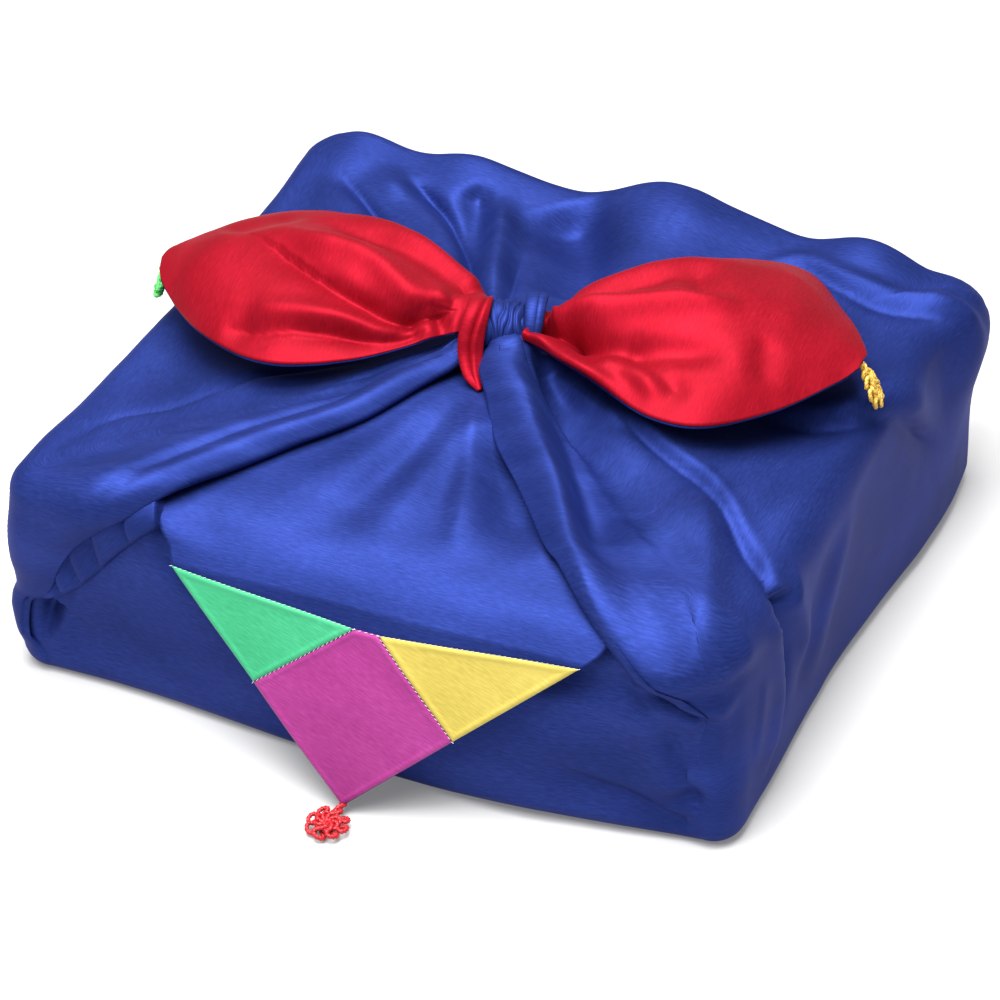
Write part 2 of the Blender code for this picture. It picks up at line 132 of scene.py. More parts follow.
RIGHT_ROLL = rows_of(
    RollPoint,
    (-2, -30, 138, 9, 14, 13, 15),
    (8, -58, 133, 7, 16, 19, 12),
    (25, -86, 127, 5, 16, 21, 11),
    (42, -106, 124, 5, 16, 20, 11),
    (58, -126, 122, 5, 15, 16, 12),
    (76, -149, 120, 5, 13, 11, 14),
    (98, -171, 117, 5.5, 11, 8, 18),
    (116, -186, 109, 6, 9, 6, 20),
    (131, -190, 98, 6.5, 8.5, 5, 20),
    (146, -192, 89, 6.5, 8, 5, 20),
    (158, -192, 82, 6, 7, 4, 18),
    (166, -190, 77, 3, 4, 4, 14),
    (169, -189, 71, 0.3, 0.6, 8, 12),
    (169, -188, 58, 0.2, 0.2, 8, 12),
    (169, -187, 36, 0.2, 0.2, 8, 12),
    (169, -186, 10, 0.2, 0.2, 8, 12),
)
ROLL_CLEAR = 2.6
ROLL_STEPS = 8
TUCK_STEPS = 4

# Creases pressed into a sheet: height over it (below it when negative), the reach of its slopes to the right
# and left of the route, 1 where it is sharp, the share of the route over which each end fades, and the route.
Crease = namedtuple("Crease", "name height right_reach left_reach sharp fade_in fade_out route")


def crease_table(*rows):
    """Creases from rows of seven values and then the points of the route."""
    return [Crease(*row[:7], row[7:]) for row in rows]


WRAP_CREASES = crease_table(
    ("left_upper_line", -3.6, 7, 1.8, 1, 0.30, 0.12,
     (-58, -44, 128), (-88, -54, 126), (-113, -66, 125), (-129, -86, 124), (-142, -104, 121),
     (-166, -122, 118), (-178, -160, 116)),
    ("left_lower_line", -6.5, 5, 12, 1, 0.20, 0.30,
     (-40, -50, 132), (-60, -80, 129), (-80, -104, 127), (-98, -126, 125), (-114, -148, 122),
     (-132, -176, 116), (-152, -184, 96)),
    ("left_shoulder_ridge", 4, 24, 24, 0, 0.25, 0.30,
     (-24, -26, 134), (-80, -50, 122), (-130, -92, 118), (-176, -140, 110), (-192, -150, 70)),
    ("left_near_knot", -5, 5, 9, 0, 0.10, 0.45,
     (-18, -26, 136), (-42, -50, 132), (-64, -74, 128), (-92, -96, 124)),
    ("right_roll_valley", -11, 7, 19, 0, 0.05, 0.30,
     (18, -22, 138), (34, -40, 137), (48, -60, 134), (66, -88, 129), (80, -110, 126), (94, -134, 123),
     (110, -156, 119)),
    ("right_upper_ridge", 5, 4, 8, 0, 0.05, 0.35,
     (20, -14, 140), (30, -20, 138), (43, -28, 135), (59, -38, 132), (76, -46, 129), (100, -58, 125)),
    ("right_panel_top", 9, 55, 44, 0, 0.30, 0.30,
     (58, -34, 129), (84, -48, 127), (113, -64, 124), (142, -88, 121), (165, -110, 118)),
    ("right_cone_ridge", 11, 36, 11, 0, 0.35, 0.12,
     (112, -66, 125), (129, -92, 124), (142, -117, 123), (151, -143, 120), (158, -166, 116),
     (163, -182, 104), (166, -190, 86)),
    ("right_long_valley", -6, 5, 2.6, 1, 0.22, 0.06,
     (66, -38, 130), (75, -45, 129), (91, -56, 127), (107, -65, 125), (120, -72, 124), (134, -83, 123),
     (155, -104, 121), (175, -121, 117), (184, -127, 108)),
    ("right_long_lip", 1.6, 2.4, 4, 0, 0.25, 0.50,
     (69, -33, 130), (78, -40, 129), (94, -51, 127), (110, -60, 125), (124, -67, 124), (138, -78, 123),
     (159, -99, 121), (178, -116, 117), (187, -121, 106)),
    ("right_slit", -15, 4, 9, 0, 0.08, 0.45,
     (182, -124, 113), (186, -127, 104), (187, -127, 92), (187, -123, 76), (187, -120, 60),
     (186, -121, 46), (185, -126, 30)),
    ("right_slit_front_lip", 4, 12, 3.5, 0, 0.15, 0.25,
     (186, -132, 106), (188, -134, 94), (188, -131, 80), (187, -127, 62), (186, -130, 46),
     (185, -138, 30), (183, -148, 14)),
    ("right_slit_back_lip", 4, 5, 12, 0, 0.10, 0.40,
     (186, -116, 104), (187, -106, 90), (187, -98, 74), (187, -93, 56), (186, -92, 34)),
    ("right_wall_streak", 1.2, 3, 8, 0, 0.30, 0.30,
     (188, -150, 84), (186, -152, 60), (182, -158, 30)),
    ("right_front_facet", -5, 16, 16, 0, 0.25, 0.25,
     (178, -174, 108), (182, -176, 92), (184, -178, 72), (183, -179, 52), (180, -180, 30)),
    ("right_back_corner_puff", 13, 30, 30, 0, 0.40, 0.40,
     (160, 172, 106), (184, 166, 98), (190, 140, 92), (190, 110, 92)),
    ("right_ridge", 5, 26, 20, 0, 0.20, 0.25,
     (16, -14, 134), (78, 16, 123), (140, 40, 118), (178, 62, 108), (188, 84, 60)),
    ("right_low_valley", -6, 9, 4, 1, 0.30, 0.30,
     (118, 0, 120), (140, 2, 119), (160, 12, 118), (178, 30, 113), (187, 58, 96), (193, 88, 70),
     (195, 118, 46)),
    ("right_low_ridge", 5, 5, 18, 0, 0.25, 0.30,
     (122, 8, 120), (142, 10, 119), (162, 22, 118), (182, 44, 112), (191, 70, 92), (195, 100, 66)),
    ("right_wall_fold", 2.5, 9, 12, 0, 0.30, 0.30,
     (186, -20, 108), (192, -40, 80), (192, -62, 50), (188, -84, 22)),
    ("right_wall_hollow", -2.5, 10, 14, 0, 0.30, 0.30,
     (184, -44, 108), (190, -64, 80), (190, -84, 50), (187, -100, 24)),
    ("right_back_valley", -6, 4, 12, 1, 0.30, 0.30,
     (70, 104, 121), (101, 136, 120), (127, 128, 120), (150, 122, 119), (175, 126, 114), (190, 140, 92)),
    ("right_back_ridge", 6, 14, 6, 0, 0.30, 0.25,
     (66, 114, 121), (98, 146, 120), (128, 138, 120), (154, 134, 119), (180, 140, 112), (192, 154, 84)),
    ("back_left_corner_ridge", 8, 9, 14, 0, 0.10, 0.30,
     (-24, 4, 136), (-60, 40, 127), (-97, 74, 122), (-125, 100, 119), (-152, 119, 118), (-179, 130, 112)),
    ("back_left_first_line", -9, 3, 7, 1, 0.12, 0.25,
     (-28, 6, 136), (-62, 34, 127), (-84, 62, 124), (-102, 87, 121), (-134, 118, 119), (-166, 145, 118)),
    ("back_left_broad_ridge", 9, 11, 13, 0, 0.10, 0.20,
     (-18, 10, 136), (-43, 46, 127), (-64, 84, 123), (-87, 106, 121), (-121, 131, 119), (-151, 146, 118)),
    ("back_left_second_line", -10, 3, 8, 1, 0.10, 0.20,
     (-14, 12, 136), (-32, 36, 129), (-46, 56, 126), (-66, 94, 122), (-87, 122, 120), (-107, 138, 119),
     (-128, 148, 118)),
    ("back_left_trough", -7, 7, 10, 0, 0.10, 0.15,
     (-12, 14, 135), (-34, 42, 127), (-49, 63, 125), (-67, 107, 121), (-79, 138, 119), (-88, 154, 118)),
    ("back_strand", 9, 8, 9, 0, 0.05, 0.30,
     (-8, 10, 136), (-28, 31, 130), (-44, 79, 123), (-60, 124, 120), (-72, 152, 118)),
    ("back_strand_line", -5, 3, 6, 1, 0.08, 0.40,
     (-4, 12, 136), (-18, 32, 130), (-30, 70, 124), (-40, 110, 121)),
    ("back_hollow", -15, 17, 20, 0, 0.25, 0.20,
     (4, 50, 124), (0, 84, 121), (-6, 110, 119), (-22, 138, 118), (-36, 156, 117)),
    ("back_rise", 8, 34, 30, 0, 0.30, 0.25,
     (16, 50, 122), (26, 110, 119), (30, 156, 117)),
    ("back_right_ridge", 11, 30, 22, 0, 0.15, 0.30,
     (14, 0, 134), (66, 40, 123), (104, 80, 119), (136, 120, 116)),
    ("puff", 5, 11, 12, 0, 0.20, 0.15,
     (132, -192, 80), (142, -192, 62), (150, -191, 46), (158, -189, 26)),
    ("puff_line", -4, 12, 3, 1, 0.20, 0.15,
     (148, -190, 70), (153, -189, 60), (157, -188, 50), (161, -187, 41), (165, -187, 31), (168, -186, 22)),
    ("dart_lower_lip", 4, 6, 6, 0, 0.30, 0.20,
     (136, -192, 86), (150, -193, 78), (160, -192, 73), (168, -190, 70)),
    ("low_front_line", -3.5, 12, 3, 1, 0.25, 0.20,
     (81, -196, 40), (110, -194, 30), (132, -191, 25), (148, -189, 18), (160, -187, 14), (170, -185, 9)),
    ("left_foot_puff", 2, 13, 13, 0, 0.35, 0.30,
     (-191, -170, 48), (-190, -174, 30), (-187, -175, 12)),
    ("pocket", -9, 4, 7, 1, 0.10, 0.70,
     (-174, -183, 47), (-177, -182, 38), (-179, -181, 28), (-182, -180, 16)),
    ("pocket_rim", 2, 4, 5, 0, 0.25, 0.40,
     (-165, -184, 46), (-167, -184, 34), (-172, -183, 22), (-177, -181, 12)),
)

FLAP_CREASES = crease_table(
    ("flap_left_ray", 3, 14, 18, 0, 0.20, 0.45,
     (-8, -50, 134), (-24, -90, 125), (-46, -130, 120), (-70, -166, 117)),
    ("flap_mid_ray", 3.5, 12, 10, 0, 0.15, 0.45,
     (0, -52, 134), (0, -90, 125), (-4, -130, 120), (-10, -170, 117)),
    ("flap_valley", -3.5, 9, 12, 0, 0.15, 0.45,
     (-4, -52, 134), (-12, -92, 125), (-24, -130, 120), (-36, -166, 117)),
    ("flap_right_hollow", -7, 15, 15, 0, 0.20, 0.40,
     (18, -70, 130), (36, -100, 124), (52, -124, 121), (68, -148, 118)),
    ("flap_right_ray", 5, 8, 14, 0, 0.20, 0.35,
     (4, -60, 132), (16, -94, 124), (26, -128, 120), (38, -160, 116)),
)

# The flap: the routes of its two edges from the knot, the seam where the patchwork starts, and its tip. It
# goes over the box's edge in one arc that starts at this length up the cloth and arrives in this direction.
FLAP_LEFT_EDGE = ((-26, -30, 136), (-56, -84, 126), (-90, -128, 121), (-116, -162, 117),
                  (-110, -182, 108), (-99, -189, 95))
FLAP_RIGHT_EDGE = ((20, -36, 135), (42, -92, 125), (76, -136, 120), (110, -164, 117), (124, -182, 109),
                   (109, -189, 95))
SEAM_LEFT = Vector((-99, -191, 94))
SEAM_RIGHT = Vector((109, -193, 93))
FLAP_TIP = Vector((3, -225, 5))
FLAP_ARC_FROM = 205.0
FLAP_ARRIVES = (0.0, -0.72, -0.69)
FLAP_LIFT = 1.8
UP_SEAM = UP_WALL + 84
SEAM = (SEAM_RIGHT - SEAM_LEFT).length

# The hanging corner's own axes: along its seam, down from it and out from it, and where its tip lies in them.
# Above the seam the corner's plane goes on for a while, and its edges spread by these shares of the way up.
FLAP_ACROSS = (SEAM_RIGHT - SEAM_LEFT).normalized()
TIP_ACROSS = (FLAP_TIP - SEAM_LEFT).dot(FLAP_ACROSS)
TO_TIP = FLAP_TIP - SEAM_LEFT - FLAP_ACROSS * TIP_ACROSS
TIP_DOWN = TO_TIP.length
FLAP_DOWN = TO_TIP.normalized()
FLAP_OUTWARD = FLAP_DOWN.cross(FLAP_ACROSS)
PLANE_ABOVE = 34
LEFT_SPREAD = 0.45
RIGHT_SPREAD = 1.1

# The patches meet at these shares of the flap's edges and of its seam, and sag below the seam in the middle.
SQUARE_LEFT = 0.515
SQUARE_RIGHT = 0.475
GREEN_END = 0.465
YELLOW_START = 0.525
SEAM_SAG = 8.0
HEM = 0.5
PATCH_STEP = 0.9
PATCH_TURN = 0.4

# Tails, from the knot to the tip: back edge, crown and front edge of each section.
TailSection = namedtuple("TailSection", "x back_y back_z crown_y crown_z front_y front_z")
LEFT_TAIL = rows_of(
    TailSection,
    (-13, 0, 151, -12, 159, -24, 151),
    (-35, 15, 155, -15, 165, -45, 151),
    (-65, 37, 155, -15, 170, -67, 145),
    (-99, 52, 152, -16, 172, -80, 143),
    (-133, 58, 148, -15, 169, -70, 141),
    (-161, 45, 146, -16, 162, -51, 141),
    (-181, 7, 148, -12, 153, -33, 146),
    (-188, -6, 149, -13, 150, -18, 149),
)
RIGHT_TAIL = rows_of(
    TailSection,
    (12, -8, 153, -16, 158, -24, 151),
    (24, 4, 154, -12, 161, -29, 151),
    (39, 38, 153, -4, 167, -37, 151),
    (65, 77, 149, 14, 171, -47, 147),
    (93, 100, 145, 23, 171, -57, 144),
    (118, 104, 142, 27, 167, -53, 143),
    (144, 77, 142, 28, 158, -25, 142),
    (164, 46, 145, 28, 149, 7, 144),
    (171, 33, 146, 27, 147, 21, 146),
)
LEFT_TAIL_CREASES = crease_table(
    ("back_ridge", 3, 8, 9, 0, 0.10, 0.40,
     (-20, -2, 156), (-50, 14, 164), (-90, 30, 162), (-130, 40, 156)),
    ("back_valley", -3.5, 6, 10, 0, 0.05, 0.40,
     (-20, -8, 158), (-52, 6, 166), (-88, 14, 168), (-128, 18, 164)),
    ("middle_ridge", 4, 9, 7, 0, 0.10, 0.35,
     (-26, -20, 158), (-44, -28, 162), (-75, -14, 170), (-108, -10, 171), (-140, 4, 164)),
    ("main_valley", -6.5, 3.5, 11, 1, 0.05, 0.30,
     (-26, -24, 157), (-46, -40, 160), (-65, -38, 164), (-90, -31, 167), (-120, -17, 165), (-151, 1, 158)),
    ("front_ridge", 5, 7, 7, 0, 0.10, 0.30,
     (-28, -30, 155), (-48, -48, 156), (-73, -50, 158), (-106, -54, 154), (-122, -54, 150)),
    ("front_valley", -5.5, 8, 5, 1, 0.10, 0.15,
     (-30, -34, 153), (-47, -52, 153), (-70, -57, 153), (-93, -62, 150), (-112, -66, 147),
     (-134, -64, 145)),
    ("near_knot_fold", -3, 3, 5, 1, 0.05, 0.50,
     (-24, -22, 156), (-38, -29, 160), (-43, -44, 157), (-54, -57, 153)),
    ("tip_dent", -2.5, 14, 14, 0, 0.30, 0.30,
     (-128, 34, 158), (-146, 14, 160), (-160, -6, 158)),
)
RIGHT_TAIL_CREASES = crease_table(
    ("front_rolled_edge", 5, 4, 4.5, 0, 0.04, 0.35,
     (14, -23, 154), (26, -27, 155), (42, -36, 153), (58, -42, 150), (84, -51, 148)),
    ("front_hollow", -8.5, 4, 8, 1, 0.04, 0.45,
     (16, -19, 156), (24, -21, 158), (32, -25, 159), (42, -29, 160), (58, -34, 158)),
    ("main_valley", -6, 9, 9, 0, 0.12, 0.30,
     (26, -20, 160), (45, -29, 162), (62, -31, 164), (81, -26, 167), (103, -20, 167), (121, -14, 163)),
    ("main_valley_line", -3, 2.5, 6, 1, 0.10, 0.45,
     (26, -21, 160), (45, -30, 162), (62, -33, 163), (84, -29, 166)),
    ("second_valley", -3.5, 7, 5, 1, 0.25, 0.30,
     (64, -28, 163), (76, -31, 163), (94, -40, 158), (110, -46, 152)),
    ("second_ridge", 3.5, 6, 7, 0, 0.20, 0.35,
     (52, -37, 156), (67, -37, 159), (84, -42, 155), (98, -50, 149)),
    ("middle_ridge", 5, 9, 8, 0, 0.08, 0.30,
     (20, -14, 159), (38, -10, 166), (60, -4, 170), (91, 10, 171), (116, 16, 167)),
    ("back_valley", -3.5, 7, 9, 0, 0.08, 0.40,
     (22, -8, 158), (42, 8, 166), (66, 26, 168), (94, 44, 166)),
    ("back_ridge", 3, 8, 9, 0, 0.10, 0.40,
     (24, -2, 157), (46, 26, 162), (72, 48, 162), (104, 64, 156)),
    ("dimple", -3, 7, 10, 0, 0.30, 0.30,
     (76, 48, 163), (87, 24, 169), (96, 10, 170)),
    ("tip_streak", -1.5, 5, 9, 0, 0.30, 0.30,
     (128, 8, 164), (131, -10, 160), (136, -24, 154)),
)

# One factor deepens all the tails' creases. The lining lies this far over the outer cloth, whose edge shows
# this far beyond it.
TAIL_DEEPER = 1.6
LINING_LIFT = 0.9
EDGE_SHOWS = 0.9

# The layer tucked under the left roll at the front corner: its lower folded edge, its upper edge, out of
# sight, how high it stands, and where and how deep its pleats are.
TUCK_LOWER = ((-108, -186, 111), (-117, -187, 101), (-129, -187, 89), (-143, -186, 73), (-157, -184, 58),
              (-170, -182, 49), (-184, -177, 44))
TUCK_UPPER = ((-112, -172, 118), (-120, -181, 114), (-129, -187, 108), (-144, -187, 98), (-160, -185, 80),
              (-172, -182, 66), (-184, -176, 58))
TUCK_HEIGHT = 5.4
TUCK_PLEATS = (0.30, 0.52, 0.66, 0.80)
PLEAT_DEPTH = 4.4

# The knot lies along an axis level with the surface, and its ribs are one RIB apart. Its bands are rows from
# behind it, over the top and down the front: the place along the axis, in front of it and above it, and the
# half width.
KNOT_CENTRE = np.array((5.0, -13.0, 151.0))
KNOT_ALONG = np.array((0.924, 0.383, 0.0))
KNOT_FRONT = np.array((0.383, -0.924, 0.0))
KNOT_UP = np.array((0.0, 0.0, 1.0))
KNOT_SPAN = (-22.0, 7.0)
KNOT_DEPTH = 14.0
KNOT_HEIGHT = 12.0
RIB = 4.4
BandRow = namedtuple("BandRow", "along front up half")
RED_BAND = rows_of(
    BandRow,
    (-17, -14, 2, 3.5),
    (-17, -8, 10, 4.6),
    (-18, 1, 14, 5.4),
    (-20, 10, 12, 5.6),
    (-22.5, 16, 3, 5.9),
    (-23, 20, -5, 5.6),
    (-22, 27, -12, 3.9),
    (-18.5, 34, -17, 0.6),
)
BLUE_BAND = rows_of(
    BandRow,
    (9, -16, -4, 3.5),
    (10, -12, 6, 4.5),
    (10, -4, 14, 5.0),
    (9, 5, 14, 4.6),
    (8, 12, 8, 4.0),
    (7, 15, 0, 3.2),
)

# Cord knots: one cord goes round three times while it swings out into eight loops, and a smaller round of it
# fills the middle.
LOOPS = 8
WINDINGS = 3
LOOP_MIDDLE = 6.6
LOOP_SWING = 3.4
LOOP_PINCH = 0.80
CORE_MIDDLE = 3.6
CORE_SWING = 2.4
CordKnot = namedtuple("CordKnot", "name corner away face neck thickness")
CORD_KNOTS = rows_of(
    CordKnot,
    ("red", (3, -225.5, 5.4), (-0.10, -0.99, -0.085), (0, -0.085, 0.996), 3.6, 2.1),
    ("green", (-188, -13, 147.5), (-0.25, -0.10, -0.96), (0.93, 0.37, 0), 3.0, 1.9),
    ("yellow", (171, 27, 144), (0.45, 0, -0.89), (0.87, 0.20, 0.45), 3.0, 1.9),
)

# Thickness of each cloth, as it is drawn.
FLAP_THICKNESS = 0.9
SILK_THICKNESS = 0.7
PATCH_THICKNESS = 0.5


# ----------------------------------------------------------------------------------------------------
# Curves and grids

def smooth(x, xs, ys):
    """A smooth curve through a table's values that never overshoots them."""
    xs = np.asarray(xs, dtype=float)
    ys = np.asarray(ys, dtype=float)
    width = np.diff(xs)
    slope = np.diff(ys) / width
    tangent = np.zeros_like(ys)
    turning = slope[:-1] * slope[1:] <= 0
    total = np.where(turning, 1.0, slope[:-1] + slope[1:])
    tangent[1:-1] = np.where(turning, 0.0, 2 * slope[:-1] * slope[1:] / total)
    tangent[0] = slope[0]
    tangent[-1] = slope[-1]
    x = np.clip(x, xs[0], xs[-1])
    i = np.clip(np.searchsorted(xs, x) - 1, 0, len(xs) - 2)
    t = (x - xs[i]) / width[i]
    return (ys[i] * (1 + 2 * t) * (1 - t) ** 2 + tangent[i] * width[i] * t * (1 - t) ** 2
            + ys[i + 1] * t ** 2 * (3 - 2 * t) + tangent[i + 1] * width[i] * t ** 2 * (t - 1))


def ease(x):
    """0 below 0, 1 above 1, and a soft step between."""
    x = np.clip(x, 0, 1)
    return x * x * (3 - 2 * x)


def smooth_rows(rows, per_span):
    """Catmull-Rom through points, or through whole rows of them."""
    rows = np.asarray(rows, dtype=float)
    rows = np.concatenate(([2 * rows[0] - rows[1]], rows, [2 * rows[-1] - rows[-2]]))
    made = []
    for i in range(1, len(rows) - 2):
        before, start, end, after = rows[i - 1:i + 3]
        bend = 2 * before - 5 * start + 4 * end - after
        twist = 3 * start - before - 3 * end + after
        for step in range(per_span):
            t = step / per_span
            made.append(0.5 * (2 * start + (end - before) * t + bend * t ** 2 + twist * t ** 3))
    made.append(rows[-2])
    return np.array(made)


def stepped(*stretches):
    """Even steps along stretches that follow each other, each with its start, end and count of points."""
    parts = [np.linspace(*stretch)[:-1] for stretch in stretches]
    return np.concatenate((*parts, [stretches[-1][1]]))


def between(start, end, shares):
    """A grid whose rows run from their start to their end by these shares."""
    return start[:, None] + (end - start)[:, None] * shares[None, :]


def lengths(grid, axis):
    """Distance along a grid's rows or columns from their start."""
    steps = np.linalg.norm(np.diff(grid, axis=axis), axis=-1)
    start = np.zeros_like(np.take(steps, [0], axis=axis))
    return np.concatenate((start, np.cumsum(steps, axis=axis)), axis=axis)


def unit(vectors):
    return vectors / np.maximum(np.linalg.norm(vectors, axis=-1, keepdims=True), 1e-9)


def grid_normals(grid):
    """The upward side of a grid whose columns run along the cloth and rows up it."""
    return unit(np.cross(np.gradient(grid, axis=1), np.gradient(grid, axis=0)))


def unevenness(points, size, seed):
    """Slow bumps and dips, between -1 and 1, of about this size."""
    shift = Vector((seed * 17.3, seed * 5.1, seed * 9.7))
    flat = points.reshape(-1, 3) / size
    values = [noise.noise(Vector(point) + shift) for point in flat.tolist()]
    return np.array(values).reshape(points.shape[:-1])


# ----------------------------------------------------------------------------------------------------
# The bundle's surface: a place on it is a length round the outline and a length up the cloth

def outline(round_it):
    """Point and outward direction on the rounded outline."""
    s = np.mod(np.asarray(round_it, dtype=float), GIRTH)
    point = np.zeros(s.shape + (3,))
    outward = np.zeros(s.shape + (3,))
    half_x = WIDTH / 2 - CORNER_RADIUS
    half_y = DEPTH / 2 - CORNER_RADIUS
    corners = ((half_x, -half_y), (half_x, half_y), (-half_x, half_y), (-half_x, -half_y))
    start = 0.0
    for index, side in enumerate((SIDE_Y, SIDE_X, SIDE_Y, SIDE_X)):
        angle = index * pi / 2
        here = (s >= start) & (s < start + side)
        direction = np.array((cos(angle), sin(angle), 0.0))
        along = np.array((-sin(angle), cos(angle), 0.0))
        base = np.array((*corners[index], 0.0)) + direction * CORNER_RADIUS
        point[here] = base + along * (s[here] - start)[:, None]
        outward[here] = direction
        start += side
        turn = (s >= start) & (s < start + ARC)
        bend = angle + (s[turn] - start) / CORNER_RADIUS
        around = np.stack((np.cos(bend), np.sin(bend), np.zeros_like(bend)), axis=-1)
        point[turn] = np.array((*corners[(index + 1) % 4], 0.0)) + around * CORNER_RADIUS
        outward[turn] = around
        start += ARC
    return point + MIDDLE, outward


def bulge_depth(points, outward):
    depth = np.zeros(points.shape[:-1])
    for bulge in BULGES:
        facing = np.clip(outward[..., 0] * bulge.outward_x + outward[..., 1] * bulge.outward_y, 0, 1) ** 2
        along = points[..., 1] if bulge.outward_x else points[..., 0]
        place = np.clip((along - bulge.middle) / bulge.half_length, -1, 1)
        depth += bulge.depth * facing * np.cos(place * pi / 2) ** 2
    return depth


def rise_height(points):
    height = np.zeros(points.shape[:-1])
    for rise in RISES:
        away = np.hypot(points[..., 0] - rise.x, points[..., 1] - rise.y) / rise.reach
        height += rise.height * np.exp(-away ** 2)
    return height


def shoulder_radius(station, outward):
    """Softer along the front and round its right corner, tight elsewhere."""
    front = np.clip(-outward[..., 1], 0, 1) ** 2 * ease((station[..., 0] + 150) / 70)
    right = 0.4 * np.clip(outward[..., 0], 0, 1) ** 2 * ease((60 - station[..., 1]) / 140)
    return SHOULDER_RADIUS + SHOULDER_SOFTER * (front + right)


def bundle(round_it, up_it):
    """The wrapped bundle's own surface, before any crease."""
    round_it, up_it = np.broadcast_arrays(np.asarray(round_it, dtype=float), np.asarray(up_it, dtype=float))
    station, outward = outline(round_it)
    radius = shoulder_radius(station, outward)
    foot = np.clip((up_it - UP_FOOT) / FOOT_RADIUS, 0, pi / 2)
    turn = np.clip((up_it - UP_SHOULDER) / (UP_TOP - UP_SHOULDER), 0, 1) * pi / 2
    climb = np.clip((up_it - UP_WALL) / (UP_SHOULDER - UP_WALL), 0, 1)
    under = np.clip(UP_FOOT - up_it, 0, None)
    inset = under + FOOT_RADIUS * (1 - np.sin(foot))
    inward = NECK - station
    inward[..., 2] = 0
    inward /= np.abs((inward * outward).sum(axis=-1, keepdims=True))
    height = (FOOT_RADIUS * (1 - np.cos(foot)) + climb * (SHOULDER - radius - FOOT_RADIUS)
              + radius * np.sin(turn))
    share = np.clip((up_it - UP_TOP) / (UP_NECK - UP_TOP), 0, 1)
    climbed = np.clip((height - FOOT_RADIUS) / (SHOULDER - FOOT_RADIUS), 0, 1)
    bulged = np.cos(climbed * pi / 2) * (0.8 + 0.2 * np.clip(height / FOOT_RADIUS, 0, 1))
    point = station + outward * (bulge_depth(station, outward) * bulged - inset)[..., None]
    point += inward * (radius * (1 - np.cos(turn)))[..., None]
    bearing = np.arctan2(point[..., 1] - NECK[1], point[..., 0] - NECK[0])
    ring_x = NECK[0] + NECK_RADII[0] * np.cos(bearing)
    ring_y = NECK[1] + NECK_RADII[1] * np.sin(bearing)
    point[..., 0] += (ring_x - point[..., 0]) * share
    point[..., 1] += (ring_y - point[..., 1]) * share
    tent = height + (NECK[2] - SHOULDER) * share ** TENT_POWER
    point[..., 2] = tent + rise_height(point) * (height / SHOULDER) ** 2 * (1 - share)
    return point


def locate(points):
    """The place on the bundle's surface nearest to each point: a coarse search, then steps down the slope."""
    points = np.asarray(points, dtype=float)
    round_step = 6.0
    up_step = 4.0
    nudge = 0.5
    longest = 6
    coarse_round, coarse_up = np.meshgrid(np.arange(0, GIRTH, round_step), np.arange(2, UP_NECK, up_step))
    coarse = bundle(coarse_round, coarse_up).reshape(-1, 3)
    nearest = np.array([np.linalg.norm(coarse - point, axis=1).argmin() for point in points])
    place = np.stack((coarse_round.ravel()[nearest], coarse_up.ravel()[nearest]), axis=1)
    for _ in range(8):
        here = bundle(place[:, 0], place[:, 1])
        by_round = bundle(place[:, 0] + nudge, place[:, 1]) - here
        by_up = bundle(place[:, 0], place[:, 1] + nudge) - here
        for index in range(len(points)):
            slopes = np.stack((by_round[index], by_up[index]), axis=1) / nudge
            move = np.linalg.lstsq(slopes, points[index] - here[index], rcond=None)[0]
            place[index] += np.clip(move, -longest, longest)
        place[:, 1] = np.clip(place[:, 1], 0, UP_NECK)
    return place


def border(table):
    """How a border runs on the bundle: lengths up the cloth, lengths round the outline, and its rows."""
    place = locate([row[:3] for row in table])
    place[:, 0] = np.unwrap(place[:, 0], period=GIRTH)
    order = np.argsort(place[:, 1])
    return place[order, 1], place[order, 0], [table[i] for i in order]


# ----------------------------------------------------------------------------------------------------
# Folds and creases

def crease_lift(points, normals, crease, laid):
    """How far a crease raises each point, from its distance and side to the crease's route."""
    route = bundle(*locate(crease.route).T) if laid else np.array(crease.route, dtype=float)
    line = smooth_rows(route, 6)
    spans = line[1:] - line[:-1]
    reach = 3.2 * max(crease.right_reach, crease.left_reach) + 4
    low = line.min(axis=0) - reach
    high = line.max(axis=0) + reach
    near = np.flatnonzero(((points > low) & (points < high)).all(axis=1))
    lift = np.zeros(len(points))
    if not len(near):
        return lift
    offset = points[near, None, :] - line[None, :-1, :]
    share = np.clip((offset * spans).sum(axis=2) / (spans ** 2).sum(axis=1), 0, 1)
    away = offset - share[:, :, None] * spans
    distance = np.linalg.norm(away, axis=2)
    nearest = distance.argmin(axis=1)
    every = np.arange(len(near))
    side = (np.cross(spans[nearest], normals[near]) * away[every, nearest]).sum(axis=1)
    scale = np.where(side > 0, crease.right_reach, crease.left_reach)
    along = (nearest + share[every, nearest]) / len(spans)
    fade = ease(along / crease.fade_in) * ease((1 - along) / crease.fade_out)
    far = distance[every, nearest] / scale
    if crease.sharp:
        # A tent whose ridge is just rounded.
        shape = np.exp(-(np.sqrt(far ** 2 + 0.04) - 0.2))
    else:
        shape = np.exp(-far ** 2)
    lift[near] = crease.height * fade * shape
    return lift


def press(grid, normals, creases, laid=True):
    """Sum of the creases' lifts over a grid of points; the routes of laid ones are moved onto the bundle."""
    points = grid.reshape(-1, 3)
    flat = normals.reshape(-1, 3)
    total = np.zeros(len(points))
    for crease in creases:
        total += crease_lift(points, flat, crease, laid)
    return total.reshape(grid.shape[:-1])


def wrap_lift(base, normals):
    """The creases and unevenness that the body and the front wall share."""
    lift = press(base, normals, WRAP_CREASES)
    return lift + 0.8 * unevenness(base, 46.0, 1) + 0.2 * unevenness(base, 17.0, 2)


